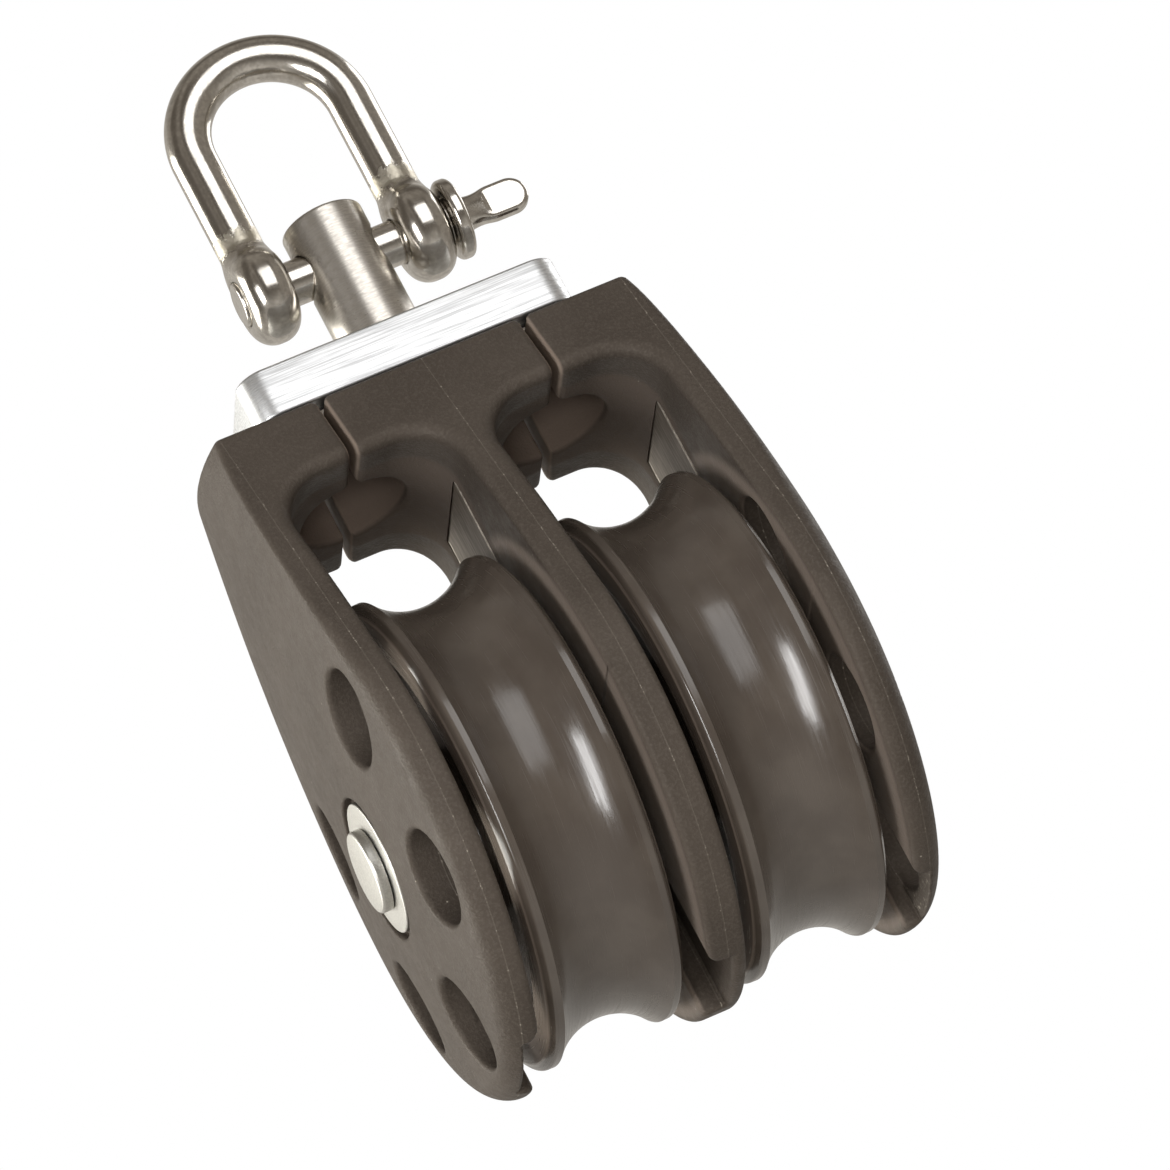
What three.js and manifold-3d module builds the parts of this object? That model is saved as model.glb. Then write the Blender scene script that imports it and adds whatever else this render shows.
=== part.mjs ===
// Double sheave block with a swivel post and a D-shackle.
// Millimetres, +Z up. The axle lies along X, the line runs through each bay along Y.
// Heights are laid out from the axle centre; the finished group is then lowered so that
// its origin is the inner crown of the shackle bow, where the block hangs.
import * as THREE from "three";
import { mergeVertices } from "three/addons/utils/BufferGeometryUtils.js";
import Module from "manifold-3d";

const wasm = await Module();
wasm.setup();

// ---------------------------------------------------------------- driving dimensions
const FINE = 48; // facets round a bearing surface
const MEDIUM = 32; // facets round a small disc or hole
const GAP = 0.15; // clearance on each side of a face that rests on its neighbour

// Sheaves
const BAY_CENTRE = 13.75; // from the middle of the block to the middle of a sheave
const SHEAVE_RADIUS = 30.5;
const GROOVE_FLOOR_RADIUS = 27.1;
const GROOVE_ARC_RADIUS = 9.5;
const GROOVE_HALF_WIDTH = 7.3;
const FLANGE_HALF_WIDTH = 9.05;
const FLANGE_ROUND = 0.7;
const WEB_HALF_WIDTH = 6.2;
const WEB_OUTER_RADIUS = 24;
const HUB_HALF_WIDTH = 10.1;
const HUB_RADIUS = 10.2;

// Axle, its sleeves and washers
const AXLE_RADIUS = 4;
const SLEEVE_RADIUS = 6.5;
const RUNNING_CLEARANCE = 0.05;
const THRUST_RADIUS = 9.5;
const THRUST_THICKNESS = 0.8;
const AXLE_WASHER_RADIUS = 8.45;
const AXLE_WASHER_INNER_FACE = 30.5;
const AXLE_WASHER_THICKNESS = 1;
const AXLE_HEAD_RADIUS = 5.3;
const AXLE_HEAD_INNER_FACE = 31.65;
const AXLE_HEAD_THICKNESS = 1.45;
const CAP_SCREW_RADIUS = 2.4;

// Cheek mouldings
const CHEEK_RADIUS = 32.4; // lower outline, about the axle
const HEAD_TOP = 55; // height of the mouldings' flat top
const HEAD_HALF_DEPTH = 12.6; // at the top, in Y
const BAY_OUTER_WALL = 25.1; // faces of the bay, measured from the middle of the block
const BAY_INNER_WALL = 2.45;
const OUTER_FLOOR = 27.2; // floor of the foot channel in an outer cheek
const CENTRE_FLOOR = 0.5; // the same in the centre cheek, open towards the left sheave
const DOME_HEIGHT = 31.8; // outer face over the axle
const DOME_LOWER = 400; // outer face falls by y^2 and z^2 over this, below the axle
const DOME_UPPER = 1700; // and by z^2 over this above it, where the fall with y^2 also
const DOME_TIGHTEN = 0.11; // tightens: its divisor loses this much times z^2
const EDGE_ROUND_HEAD = 0.6; // rounding of the outer edge at the head
const EDGE_ROUND_FOOT = 3.2; // and at the foot
const CEILING = 44.5; // roof of the bay over the sheave
const CEILING_CORNER = 7;
const CEILING_FLARE = 3.2; // rounding of the roof where it meets the front and back
const FLARE_START = 13;
const JOINT_SLIT = 1; // slit in the middle of each bay's head
const SLIT_NOTCH = 1.5;
const HOLE_CIRCLE = 22.9;
const HOLE_RADIUS = 6.15;
const HOLE_LIP = 0.5;
const WASHER_SEAT_RADIUS = 9.2;
const WASHER_SEAT_FLOOR = 30.3;
const CHANNEL_FRONT = 8; // the foot channel reaches this far forward of the axle
const CHANNEL_BACK = 5.4; // and this far behind it
const CHANNEL_TOP = -6; // it runs from the foot up to the strap's round end
const CHANNEL_LIP = 1.9; // rounding of its edges

// Load straps
const STRAP_HALF_WIDTH = 8.5;
const STRAP_THICKNESS = 1.2;
const STRAP_TOP = 55.1;
const STRAP_BEND = 1.5;
const STRAP_SLOT_GAP = 0.25;
const SCREW_RADIUS = 2.5;
const SCREW_HEAD_RADIUS = 4.5;
const SCREW_HEAD_HEIGHT = 2.6;
const SCREW_SOCKET_RADIUS = 1.8;
const SCREW_TIP = 60;
const POCKET_RADIUS = 7.4; // well in the roof of each bay, under the strap screw

// Crosshead bar
const BAR_HALF_LENGTH = 21.7;
const BAR_HALF_DEPTH = 11.5;
const BAR_BOTTOM = 55.35;
const BAR_TOP = 62;
const BAR_CORNER = 3.5;
const BAR_CHAMFER = 0.35;
const COUNTERBORE_RADIUS = 6.2;
const COUNTERBORE_TOP = 59.4;

// Swivel post
const POST_RADIUS = 5.45;
const POST_TOP = 82.5;
const POST_CHAMFER = 0.5;
const SHANK_RADIUS = 4;
const SHANK_BOTTOM = 55.6;
const NUT_CORNER_RADIUS = 5.9;
const NUT_BOTTOM = 55.5;
const NUT_TOP = 58.2;
const SWIVEL_WASHER_BOTTOM = 58.4;
const SWIVEL_WASHER_TOP = 59.2;
const SWIVEL_WASHER_RADIUS = 5.9;

// Shackle
const PIN_HEIGHT = 76.2;
const PIN_RADIUS = 2.9;
const ROD_RADIUS = 3;
const LEG_OFFSET = 10.75;
const CROWN_CENTRE = 96.5;
const EAR_RADIUS = 6.4;
const EAR_HALF_THICKNESS = 3.15;
const PIN_TIP = -14.3;
const COLLAR_RADIUS = 5.3;
const COLLAR_INNER_FACE = 14.45;
const COLLAR_THICKNESS = 1.9;
const TAB_END = 25.6;
const TAB_HALF_WIDTH = 2.4;
const TAB_THICKNESS = 2;
const HANG_HEIGHT = CROWN_CENTRE + LEG_OFFSET - ROD_RADIUS;

// ---------------------------------------------------------------- solids
function toSolid(geometry) {
  const bare = geometry.clone();
  bare.deleteAttribute("normal");
  bare.deleteAttribute("uv");
  const welded = mergeVertices(bare, 1e-4);
  const corners = new Uint32Array(welded.index.array);
  const points = new Float32Array(welded.attributes.position.array);
  const made = new wasm.Manifold(
    new wasm.Mesh({ numProp: 3, vertProperties: points, triVerts: corners }),
  );
  if (made.volume() >= 0) return made;
  for (let i = 0; i < corners.length; i += 3) {
    [corners[i + 1], corners[i + 2]] = [corners[i + 2], corners[i + 1]];
  }
  return new wasm.Manifold(
    new wasm.Mesh({ numProp: 3, vertProperties: points, triVerts: corners }),
  );
}

function toGeometry(solid) {
  const mesh = solid.getMesh();
  const points = new Float32Array(mesh.numVert * 3);
  for (let i = 0; i < mesh.numVert; i++) {
    points.set(mesh.vertProperties.subarray(i * mesh.numProp, i * mesh.numProp + 3), i * 3);
  }
  const geometry = new THREE.BufferGeometry();
  geometry.setAttribute("position", new THREE.BufferAttribute(points, 3));
  geometry.setIndex(new THREE.BufferAttribute(new Uint32Array(mesh.triVerts), 1));
  return geometry;
}

// The same solid on the other side of the block's middle plane.
function mirrored(solid) {
  const geometry = toGeometry(solid);
  geometry.scale(-1, 1, 1);
  return toSolid(geometry);
}

function joined(...solids) {
  return solids.reduce((whole, piece) => whole.add(piece));
}

function cut(body, ...tools) {
  return tools.reduce((left, tool) => left.subtract(tool), body);
}

function box(x0, x1, y0, y1, z0, z1) {
  const geometry = new THREE.BoxGeometry(x1 - x0, y1 - y0, z1 - z0);
  geometry.translate((x0 + x1) / 2, (y0 + y1) / 2, (z0 + z1) / 2);
  return toSolid(geometry);
}

function discX(radius, x0, x1, facets = MEDIUM, y = 0, z = 0, endRadius = radius) {
  const geometry = new THREE.CylinderGeometry(endRadius, radius, x1 - x0, facets);
  geometry.rotateZ(-Math.PI / 2);
  geometry.translate((x0 + x1) / 2, y, z);
  return toSolid(geometry);
}

function discZ(radius, z0, z1, facets = MEDIUM, x = 0, y = 0) {
  const geometry = new THREE.CylinderGeometry(radius, radius, z1 - z0, facets);
  geometry.rotateX(Math.PI / 2);
  geometry.translate(x, y, (z0 + z1) / 2);
  return toSolid(geometry);
}

// profile: [distance along the axis, radius] pairs, going round the section.
function turnedX(profile, facets) {
  const geometry = new THREE.LatheGeometry(
    profile.map(([along, radius]) => new THREE.Vector2(radius, along)),
    facets,
  );
  geometry.rotateZ(-Math.PI / 2);
  return toSolid(geometry);
}

function turnedZ(profile, facets) {
  const geometry = new THREE.LatheGeometry(
    profile.map(([along, radius]) => new THREE.Vector2(radius, along)),
    facets,
  );
  geometry.rotateX(Math.PI / 2);
  return toSolid(geometry);
}

// A plane figure in Y and Z, given thickness along X.
function plateX(points, x0, x1) {
  const shape = new THREE.Shape(points.map(([y, z]) => new THREE.Vector2(y, z)));
  const geometry = new THREE.ExtrudeGeometry(shape, { depth: x1 - x0, bevelEnabled: false });
  geometry.rotateY(Math.PI / 2);
  geometry.rotateX(Math.PI / 2);
  geometry.translate(x0, 0, 0);
  return toSolid(geometry);
}

// A plane figure in X and Z, given thickness along Y.
function plateY(shape, y0, y1, curveSegments = 8) {
  const geometry = new THREE.ExtrudeGeometry(shape, {
    depth: y1 - y0,
    bevelEnabled: false,
    curveSegments,
  });
  geometry.rotateX(Math.PI / 2);
  geometry.translate(0, y1, 0);
  return toSolid(geometry);
}

// A skin over closed rings of equal length, capped at both ends.
function lofted(rings) {
  const count = rings[0].length;
  const points = [];
  const corners = [];
  for (const ring of rings) {
    for (const p of ring) points.push(p.x, p.y, p.z);
  }
  for (let k = 0; k + 1 < rings.length; k++) {
    for (let i = 0; i < count; i++) {
      const j = (i + 1) % count;
      const a = k * count + i;
      const b = k * count + j;
      corners.push(a, b, b + count, a, b + count, a + count);
    }
  }
  for (const [k, inward] of [[0, true], [rings.length - 1, false]]) {
    const centre = new THREE.Vector3();
    for (const p of rings[k]) centre.add(p);
    centre.divideScalar(count);
    points.push(centre.x, centre.y, centre.z);
    const hub = points.length / 3 - 1;
    for (let i = 0; i < count; i++) {
      const a = k * count + i;
      const b = k * count + ((i + 1) % count);
      if (inward) corners.push(hub, b, a);
      else corners.push(hub, a, b);
    }
  }
  const geometry = new THREE.BufferGeometry();
  geometry.setAttribute("position", new THREE.Float32BufferAttribute(points, 3));
  geometry.setIndex(corners);
  return toSolid(geometry);
}

// ---------------------------------------------------------------- cheek outline
// A round foot about the axle, two straight flanks touching it, and a flat top.
const cornerDistance = Math.hypot(HEAD_HALF_DEPTH, HEAD_TOP);
const flankAngle =
  Math.atan2(HEAD_TOP, HEAD_HALF_DEPTH) - Math.acos(CHEEK_RADIUS / cornerDistance);

// Stations round the outline, each with the direction that a fillet moves it inwards.
function outlineStations(footSteps, flankSteps) {
  const stations = [];
  const sideNormal = new THREE.Vector2(Math.cos(flankAngle), Math.sin(flankAngle));
  const touch = sideNormal.clone().multiplyScalar(CHEEK_RADIUS);
  const corner = new THREE.Vector2(HEAD_HALF_DEPTH, HEAD_TOP);
  const topNormal = new THREE.Vector2(0, 1);
  const mitre = sideNormal
    .clone()
    .add(topNormal)
    .divideScalar(1 + sideNormal.dot(topNormal));
  stations.push({ at: corner, inset: mitre });
  for (let i = 1; i < flankSteps; i++) {
    stations.push({ at: corner.clone().lerp(touch, i / flankSteps), inset: sideNormal });
  }
  for (let i = 0; i <= footSteps; i++) {
    const angle = flankAngle - (i / footSteps) * (Math.PI + 2 * flankAngle);
    const normal = new THREE.Vector2(Math.cos(angle), Math.sin(angle));
    stations.push({ at: normal.clone().multiplyScalar(CHEEK_RADIUS), inset: normal });
  }
  const flip = (v) => new THREE.Vector2(-v.x, v.y);
  for (let i = flankSteps - 1; i >= 1; i--) {
    stations.push({
      at: flip(corner.clone().lerp(touch, i / flankSteps)),
      inset: flip(sideNormal),
    });
  }
  stations.push({ at: flip(corner), inset: flip(mitre) });
  stations.push({ at: new THREE.Vector2(0, HEAD_TOP), inset: topNormal });
  return stations;
}

function domeX(y, z) {
  if (z <= 0) return DOME_HEIGHT - (y * y + z * z) / DOME_LOWER;
  return DOME_HEIGHT - (z * z) / DOME_UPPER - (y * y) / (DOME_LOWER - DOME_TIGHTEN * z * z);
}

function edgeRound(z) {
  const t = THREE.MathUtils.smoothstep(-z, -34, 6);
  return EDGE_ROUND_HEAD + (EDGE_ROUND_FOOT - EDGE_ROUND_HEAD) * t;
}

// The outer cheek's full thickness: flat towards the sheave, domed and rounded outside.
function outerCheekBlank() {
  const stations = outlineStations(28, 4);
  const rings = [stations.map(({ at }) => new THREE.Vector3(BAY_OUTER_WALL - 0.4, at.x, at.y))];
  const FILLET_STEPS = 3;
  for (let k = 0; k <= FILLET_STEPS; k++) {
    const turn = (k / FILLET_STEPS) * (Math.PI / 2);
    rings.push(
      stations.map(({ at, inset }) => {
        const round = edgeRound(at.y);
        const p = at.clone().addScaledVector(inset, -round * (1 - Math.cos(turn)));
        const edge = at.clone().addScaledVector(inset, -round);
        return new THREE.Vector3(domeX(edge.x, edge.y) - round + round * Math.sin(turn), p.x, p.y);
      }),
    );
  }
  for (const share of [0.66, 0.3]) {
    rings.push(
      stations.map(({ at, inset }) => {
        const edge = at.clone().addScaledVector(inset, -edgeRound(at.y));
        return new THREE.Vector3(
          domeX(edge.x * share, edge.y * share),
          edge.x * share,
          edge.y * share,
        );
      }),
    );
  }
  return lofted(rings);
}

// The centre cheek's web: the same outline, thin, with both edges eased.
function centreCheekBlank() {
  const stations = outlineStations(28, 4);
  const EDGE = 0.5;
  const side = BAY_INNER_WALL + 0.3;
  const ring = (x, depth) =>
    stations.map(({ at, inset }) => {
      const p = at.clone().addScaledVector(inset, at.y > HEAD_TOP - 1 ? 0 : -depth);
      return new THREE.Vector3(x, p.x, p.y);
    });
  return lofted([ring(-side, EDGE), ring(EDGE - side, 0), ring(side - EDGE, 0), ring(side, EDGE)]);
}

// The solid over the bays, between two planes of X.
function headBlock(x0, x1) {
  const low = 30;
  const half = HEAD_HALF_DEPTH + (HEAD_TOP - low) * Math.tan(flankAngle);
  const points = [
    [-half, low],
    [half, low],
    [HEAD_HALF_DEPTH, HEAD_TOP],
    [-HEAD_HALF_DEPTH, HEAD_TOP],
  ];
  return plateX(points, x0, x1);
}

// The passage of the bay: straight walls, rounded roof, flared at the front and back.
function bayPassage() {
  const CORNER_STEPS = 5;
  const rings = [];
  const stationsY = [-60];
  for (let k = 3; k >= 0; k--) stationsY.push(-FLARE_START - (k / 3) * CEILING_FLARE * 0.98);
  for (let k = 0; k <= 3; k++) stationsY.push(FLARE_START + (k / 3) * CEILING_FLARE * 0.98);
  stationsY.push(60);
  for (const y of stationsY) {
    const into = Math.min(Math.max(Math.abs(y) - FLARE_START, 0), CEILING_FLARE * 0.98);
    const lift = CEILING_FLARE - Math.sqrt(CEILING_FLARE ** 2 - into ** 2);
    const ring = [new THREE.Vector3(BAY_INNER_WALL, y, -60)];
    for (let k = 0; k <= CORNER_STEPS; k++) {
      const turn = (k / CORNER_STEPS) * (Math.PI / 2);
      ring.push(
        new THREE.Vector3(
          BAY_INNER_WALL + CEILING_CORNER * (1 - Math.cos(turn)),
          y,
          CEILING + lift - CEILING_CORNER * (1 - Math.sin(turn)),
        ),
      );
    }
    for (let k = CORNER_STEPS; k >= 0; k--) {
      const turn = (k / CORNER_STEPS) * (Math.PI / 2);
      ring.push(
        new THREE.Vector3(
          BAY_OUTER_WALL - CEILING_CORNER * (1 - Math.cos(turn)),
          y,
          CEILING + lift - CEILING_CORNER * (1 - Math.sin(turn)),
        ),
      );
    }
    ring.push(new THREE.Vector3(BAY_OUTER_WALL, y, -60));
    rings.push(ring);
  }
  return lofted(rings);
}

// The channel in a cheek's inner face, from the foot to the strap. towards: the sheave's side in X.
function footChannel(floor, wall, towards) {
  const shape = new THREE.Shape();
  const far = wall + towards * 3;
  const STEPS = 4;
  const side = [[floor, 0]];
  for (let k = 0; k <= STEPS; k++) {
    const turn = (k / STEPS) * (Math.PI / 2);
    side.push([
      wall - towards * CHANNEL_LIP * (1 - Math.sin(turn)),
      CHANNEL_LIP * (1 - Math.cos(turn)),
    ]);
  }
  side.push([far, CHANNEL_LIP]);
  side.forEach(([x, y], i) => {
    if (i === 0) shape.moveTo(x, CHANNEL_BACK + y);
    else shape.lineTo(x, CHANNEL_BACK + y);
  });
  [...side].reverse().forEach(([x, y]) => shape.lineTo(x, -CHANNEL_FRONT - y));
  const foot = -CHEEK_RADIUS - 10;
  const depth = CHANNEL_TOP - foot;
  const geometry = new THREE.ExtrudeGeometry(shape, { depth, bevelEnabled: false });
  geometry.translate(0, 0, foot);
  return toSolid(geometry);
}

// A square bar on edge along Y, which cuts a V into the mouth of a joint.
function notchBar(x, z, half) {
  const shape = new THREE.Shape();
  shape.moveTo(x - half, z);
  shape.lineTo(x, z - half);
  shape.lineTo(x + half, z);
  shape.lineTo(x, z + half);
  return plateY(shape, -40, 40);
}

// ---------------------------------------------------------------- load strap
function strapSolid(spare) {
  const left = BAY_INNER_WALL - STRAP_THICKNESS;
  const right = BAY_OUTER_WALL + STRAP_THICKNESS;
  const top = STRAP_TOP + spare;
  const under = STRAP_TOP - STRAP_THICKNESS - spare;
  const shape = new THREE.Shape();
  shape.moveTo(left - spare, 0);
  shape.lineTo(left - spare, top - STRAP_BEND);
  shape.quadraticCurveTo(left - spare, top, left - spare + STRAP_BEND, top);
  shape.lineTo(right + spare - STRAP_BEND, top);
  shape.quadraticCurveTo(right + spare, top, right + spare, top - STRAP_BEND);
  shape.lineTo(right + spare, 0);
  shape.lineTo(BAY_OUTER_WALL - spare, 0);
  shape.lineTo(BAY_OUTER_WALL - spare, under);
  shape.lineTo(BAY_INNER_WALL + spare, under);
  shape.lineTo(BAY_INNER_WALL + spare, 0);
  const half = STRAP_HALF_WIDTH + spare;
  return joined(
    plateY(shape, -half, half, 3),
    discX(half, left - spare, BAY_INNER_WALL + spare),
    discX(half, BAY_OUTER_WALL - spare, right + spare),
  );
}

function strap() {
  const axleHole = discX(AXLE_RADIUS + GAP, 0, 30);
  const screwHole = discZ(SCREW_RADIUS + 0.1, 50, 60, 16, BAY_CENTRE);
  return cut(strapSolid(0), axleHole, screwHole);
}

function strapScrew() {
  const headTop = STRAP_TOP - STRAP_THICKNESS - GAP;
  const headBottom = headTop - SCREW_HEAD_HEIGHT;
  const profile = [
    [headBottom, 0],
    [headBottom, SCREW_HEAD_RADIUS * 0.6],
    [headBottom + 0.5, SCREW_HEAD_RADIUS * 0.85],
    [headBottom + 1.4, SCREW_HEAD_RADIUS],
    [headTop, SCREW_HEAD_RADIUS],
    [headTop, SCREW_RADIUS],
    [SCREW_TIP - 0.6, SCREW_RADIUS],
    [SCREW_TIP, SCREW_RADIUS - 0.6],
    [SCREW_TIP, 0],
  ];
  const socket = new THREE.CylinderGeometry(SCREW_SOCKET_RADIUS, SCREW_SOCKET_RADIUS, 3, 6);
  socket.rotateX(Math.PI / 2);
  socket.translate(0, 0, headBottom);
  const geometry = toGeometry(cut(turnedZ(profile, 24), toSolid(socket)));
  geometry.translate(BAY_CENTRE, 0, 0);
  return toSolid(geometry);
}

// ---------------------------------------------------------------- cheeks
function screwPocket() {
  return discZ(POCKET_RADIUS, CEILING - 3, STRAP_TOP, MEDIUM, BAY_CENTRE);
}

function outerCheek() {
  const slitFace = BAY_CENTRE + JOINT_SLIT / 2;
  let body = joined(outerCheekBlank(), headBlock(slitFace, OUTER_FLOOR));
  body = cut(body, bayPassage());
  body = cut(
    body,
    footChannel(OUTER_FLOOR, BAY_OUTER_WALL, -1),
    strapSolid(STRAP_SLOT_GAP),
    screwPocket(),
    notchBar(BAY_CENTRE, CEILING, SLIT_NOTCH),
    notchBar(BAY_CENTRE, HEAD_TOP, SLIT_NOTCH),
    discX(AXLE_RADIUS + GAP, 20, 40),
    discX(WASHER_SEAT_RADIUS, WASHER_SEAT_FLOOR, 40),
  );
  for (const degrees of [30, -30, -90, -150, 150]) {
    const angle = THREE.MathUtils.degToRad(degrees);
    const y = HOLE_CIRCLE * Math.cos(angle);
    const z = HOLE_CIRCLE * Math.sin(angle);
    const face = domeX(y, z);
    body = cut(
      body,
      discX(HOLE_RADIUS, 20, 40, 20, y, z),
      discX(HOLE_RADIUS, face - HOLE_LIP, face + HOLE_LIP, 20, y, z, HOLE_RADIUS + 2 * HOLE_LIP),
    );
  }
  return body;
}

// One moulding between the two sheaves. Its head reaches half way over each bay, and its
// foot channel is open to the left only.
function centreCheek() {
  const slitFace = BAY_CENTRE - JOINT_SLIT / 2;
  const slots = strapSolid(STRAP_SLOT_GAP);
  const pocket = screwPocket();
  let body = joined(centreCheekBlank(), headBlock(-slitFace, slitFace));
  body = cut(body, bayPassage(), mirrored(bayPassage()));
  body = cut(
    body,
    footChannel(CENTRE_FLOOR, -BAY_INNER_WALL, -1),
    discX(AXLE_RADIUS + GAP, -5, 5),
  );
  for (const tool of [slots, pocket]) body = cut(body, tool, mirrored(tool));
  for (const x of [-BAY_CENTRE, BAY_CENTRE]) {
    body = cut(body, notchBar(x, CEILING, SLIT_NOTCH), notchBar(x, HEAD_TOP, SLIT_NOTCH));
  }
  return body;
}

// ---------------------------------------------------------------- sheave and axle
function sheave() {
  const right = [
    [HUB_HALF_WIDTH, SLEEVE_RADIUS + RUNNING_CLEARANCE],
    [HUB_HALF_WIDTH, HUB_RADIUS],
    [WEB_HALF_WIDTH, HUB_RADIUS + 0.8],
    [WEB_HALF_WIDTH, WEB_OUTER_RADIUS],
    [FLANGE_HALF_WIDTH, WEB_OUTER_RADIUS + 1],
    [FLANGE_HALF_WIDTH, SHEAVE_RADIUS - FLANGE_ROUND],
    [FLANGE_HALF_WIDTH - FLANGE_ROUND * 0.3, SHEAVE_RADIUS - FLANGE_ROUND * 0.3],
    [FLANGE_HALF_WIDTH - FLANGE_ROUND, SHEAVE_RADIUS],
  ];
  const STEPS = 8;
  const groove = [];
  for (let k = 0; k <= STEPS; k++) {
    const x = GROOVE_HALF_WIDTH * (1 - (2 * k) / STEPS);
    const drop = Math.sqrt(GROOVE_ARC_RADIUS ** 2 - x ** 2);
    groove.push([x, GROOVE_FLOOR_RADIUS + GROOVE_ARC_RADIUS - drop]);
  }
  const left = [...right].reverse().map(([x, r]) => [-x, r]);
  const profile = [...right, ...groove, ...left];
  profile.push(profile[0]);
  const geometry = toGeometry(turnedX(profile, FINE));
  geometry.translate(BAY_CENTRE, 0, 0);
  return toSolid(geometry);
}

function ringX(x0, x1, inner, outer, facets) {
  return cut(discX(outer, x0, x1, facets), discX(inner, x0 - 1, x1 + 1, facets));
}

const sleeveStart = BAY_INNER_WALL + GAP;
const sleeveEnd = BAY_OUTER_WALL - GAP;
const hubStart = BAY_CENTRE - HUB_HALF_WIDTH;
const hubEnd = BAY_CENTRE + HUB_HALF_WIDTH;
const thrustGapIn = (hubStart - BAY_INNER_WALL - THRUST_THICKNESS) / 2;
const thrustGapOut = (BAY_OUTER_WALL - hubEnd - THRUST_THICKNESS) / 2;

function sleeve() {
  const inner = AXLE_RADIUS + RUNNING_CLEARANCE;
  return ringX(sleeveStart, sleeveEnd, inner, SLEEVE_RADIUS, FINE);
}

function thrustWasher(x0) {
  const inner = SLEEVE_RADIUS + 0.1;
  return ringX(x0, x0 + THRUST_THICKNESS, inner, THRUST_RADIUS, MEDIUM);
}

function axleWasher() {
  const x0 = AXLE_WASHER_INNER_FACE;
  return ringX(x0, x0 + AXLE_WASHER_THICKNESS, AXLE_RADIUS + 0.1, AXLE_WASHER_RADIUS, MEDIUM);
}

function axlePin() {
  const headOut = -AXLE_HEAD_INNER_FACE - AXLE_HEAD_THICKNESS;
  const profile = [
    [headOut, 0],
    [headOut, AXLE_HEAD_RADIUS - 0.35],
    [headOut + 0.35, AXLE_HEAD_RADIUS],
    [-AXLE_HEAD_INNER_FACE, AXLE_HEAD_RADIUS],
    [-AXLE_HEAD_INNER_FACE, AXLE_RADIUS],
    [AXLE_HEAD_INNER_FACE - 0.25, AXLE_RADIUS],
    [AXLE_HEAD_INNER_FACE - 0.25, CAP_SCREW_RADIUS + 0.06],
    [18, CAP_SCREW_RADIUS + 0.06],
    [18, 0],
  ];
  return turnedX(profile, FINE);
}

function axleCap() {
  const outer = AXLE_HEAD_INNER_FACE + AXLE_HEAD_THICKNESS;
  const profile = [
    [20, 0],
    [20, CAP_SCREW_RADIUS],
    [AXLE_HEAD_INNER_FACE, CAP_SCREW_RADIUS],
    [AXLE_HEAD_INNER_FACE, AXLE_HEAD_RADIUS],
    [outer - 0.35, AXLE_HEAD_RADIUS],
    [outer, AXLE_HEAD_RADIUS - 0.35],
    [outer, 0],
  ];
  const slot = box(outer - 0.7, outer + 1, -7, 7, -0.6, 0.6);
  return cut(turnedX(profile, FINE), slot);
}

// ---------------------------------------------------------------- bar and swivel
function crossheadBar() {
  const shape = new THREE.Shape();
  const w = BAR_HALF_LENGTH - BAR_CHAMFER;
  const d = BAR_HALF_DEPTH - BAR_CHAMFER;
  const r = BAR_CORNER - BAR_CHAMFER;
  shape.moveTo(w, -d + r);
  shape.lineTo(w, d - r);
  shape.absarc(w - r, d - r, r, 0, Math.PI / 2, false);
  shape.lineTo(-w + r, d);
  shape.absarc(-w + r, d - r, r, Math.PI / 2, Math.PI, false);
  shape.lineTo(-w, -d + r);
  shape.absarc(-w + r, -d + r, r, Math.PI, 1.5 * Math.PI, false);
  shape.lineTo(w - r, -d);
  shape.absarc(w - r, -d + r, r, 1.5 * Math.PI, 2 * Math.PI, false);
  const geometry = new THREE.ExtrudeGeometry(shape, {
    depth: BAR_TOP - BAR_BOTTOM - 2 * BAR_CHAMFER,
    bevelEnabled: true,
    bevelSize: BAR_CHAMFER,
    bevelThickness: BAR_CHAMFER,
    bevelSegments: 1,
    curveSegments: 5,
  });
  geometry.translate(0, 0, BAR_BOTTOM + BAR_CHAMFER);
  const holes = [-BAY_CENTRE, BAY_CENTRE].map((x) =>
    discZ(SCREW_RADIUS + 0.06, BAR_BOTTOM - 1, SCREW_TIP + 0.3, 24, x),
  );
  return cut(
    toSolid(geometry),
    discZ(SHANK_RADIUS + 0.08, BAR_BOTTOM - 1, BAR_TOP + 1, FINE),
    discZ(COUNTERBORE_RADIUS, BAR_BOTTOM - 1, COUNTERBORE_TOP, MEDIUM),
    ...holes,
  );
}

function swivelPost() {
  const profile = [
    [SHANK_BOTTOM, 0],
    [SHANK_BOTTOM, SHANK_RADIUS],
    [BAR_TOP + GAP, SHANK_RADIUS],
    [BAR_TOP + GAP, POST_RADIUS],
    [POST_TOP - POST_CHAMFER, POST_RADIUS],
    [POST_TOP, POST_RADIUS - POST_CHAMFER],
    [POST_TOP, 0],
  ];
  return cut(turnedZ(profile, FINE), discX(PIN_RADIUS + 0.1, -10, 10, MEDIUM, 0, PIN_HEIGHT));
}

function swivelNut() {
  return cut(
    discZ(NUT_CORNER_RADIUS, NUT_BOTTOM, NUT_TOP, 6),
    discZ(SHANK_RADIUS + RUNNING_CLEARANCE, NUT_BOTTOM - 1, NUT_TOP + 1, FINE),
  );
}

function swivelWasher() {
  return cut(
    discZ(SWIVEL_WASHER_RADIUS, SWIVEL_WASHER_BOTTOM, SWIVEL_WASHER_TOP, FINE),
    discZ(SHANK_RADIUS + 0.08, SWIVEL_WASHER_BOTTOM - 1, SWIVEL_WASHER_TOP + 1, FINE),
  );
}

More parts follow.
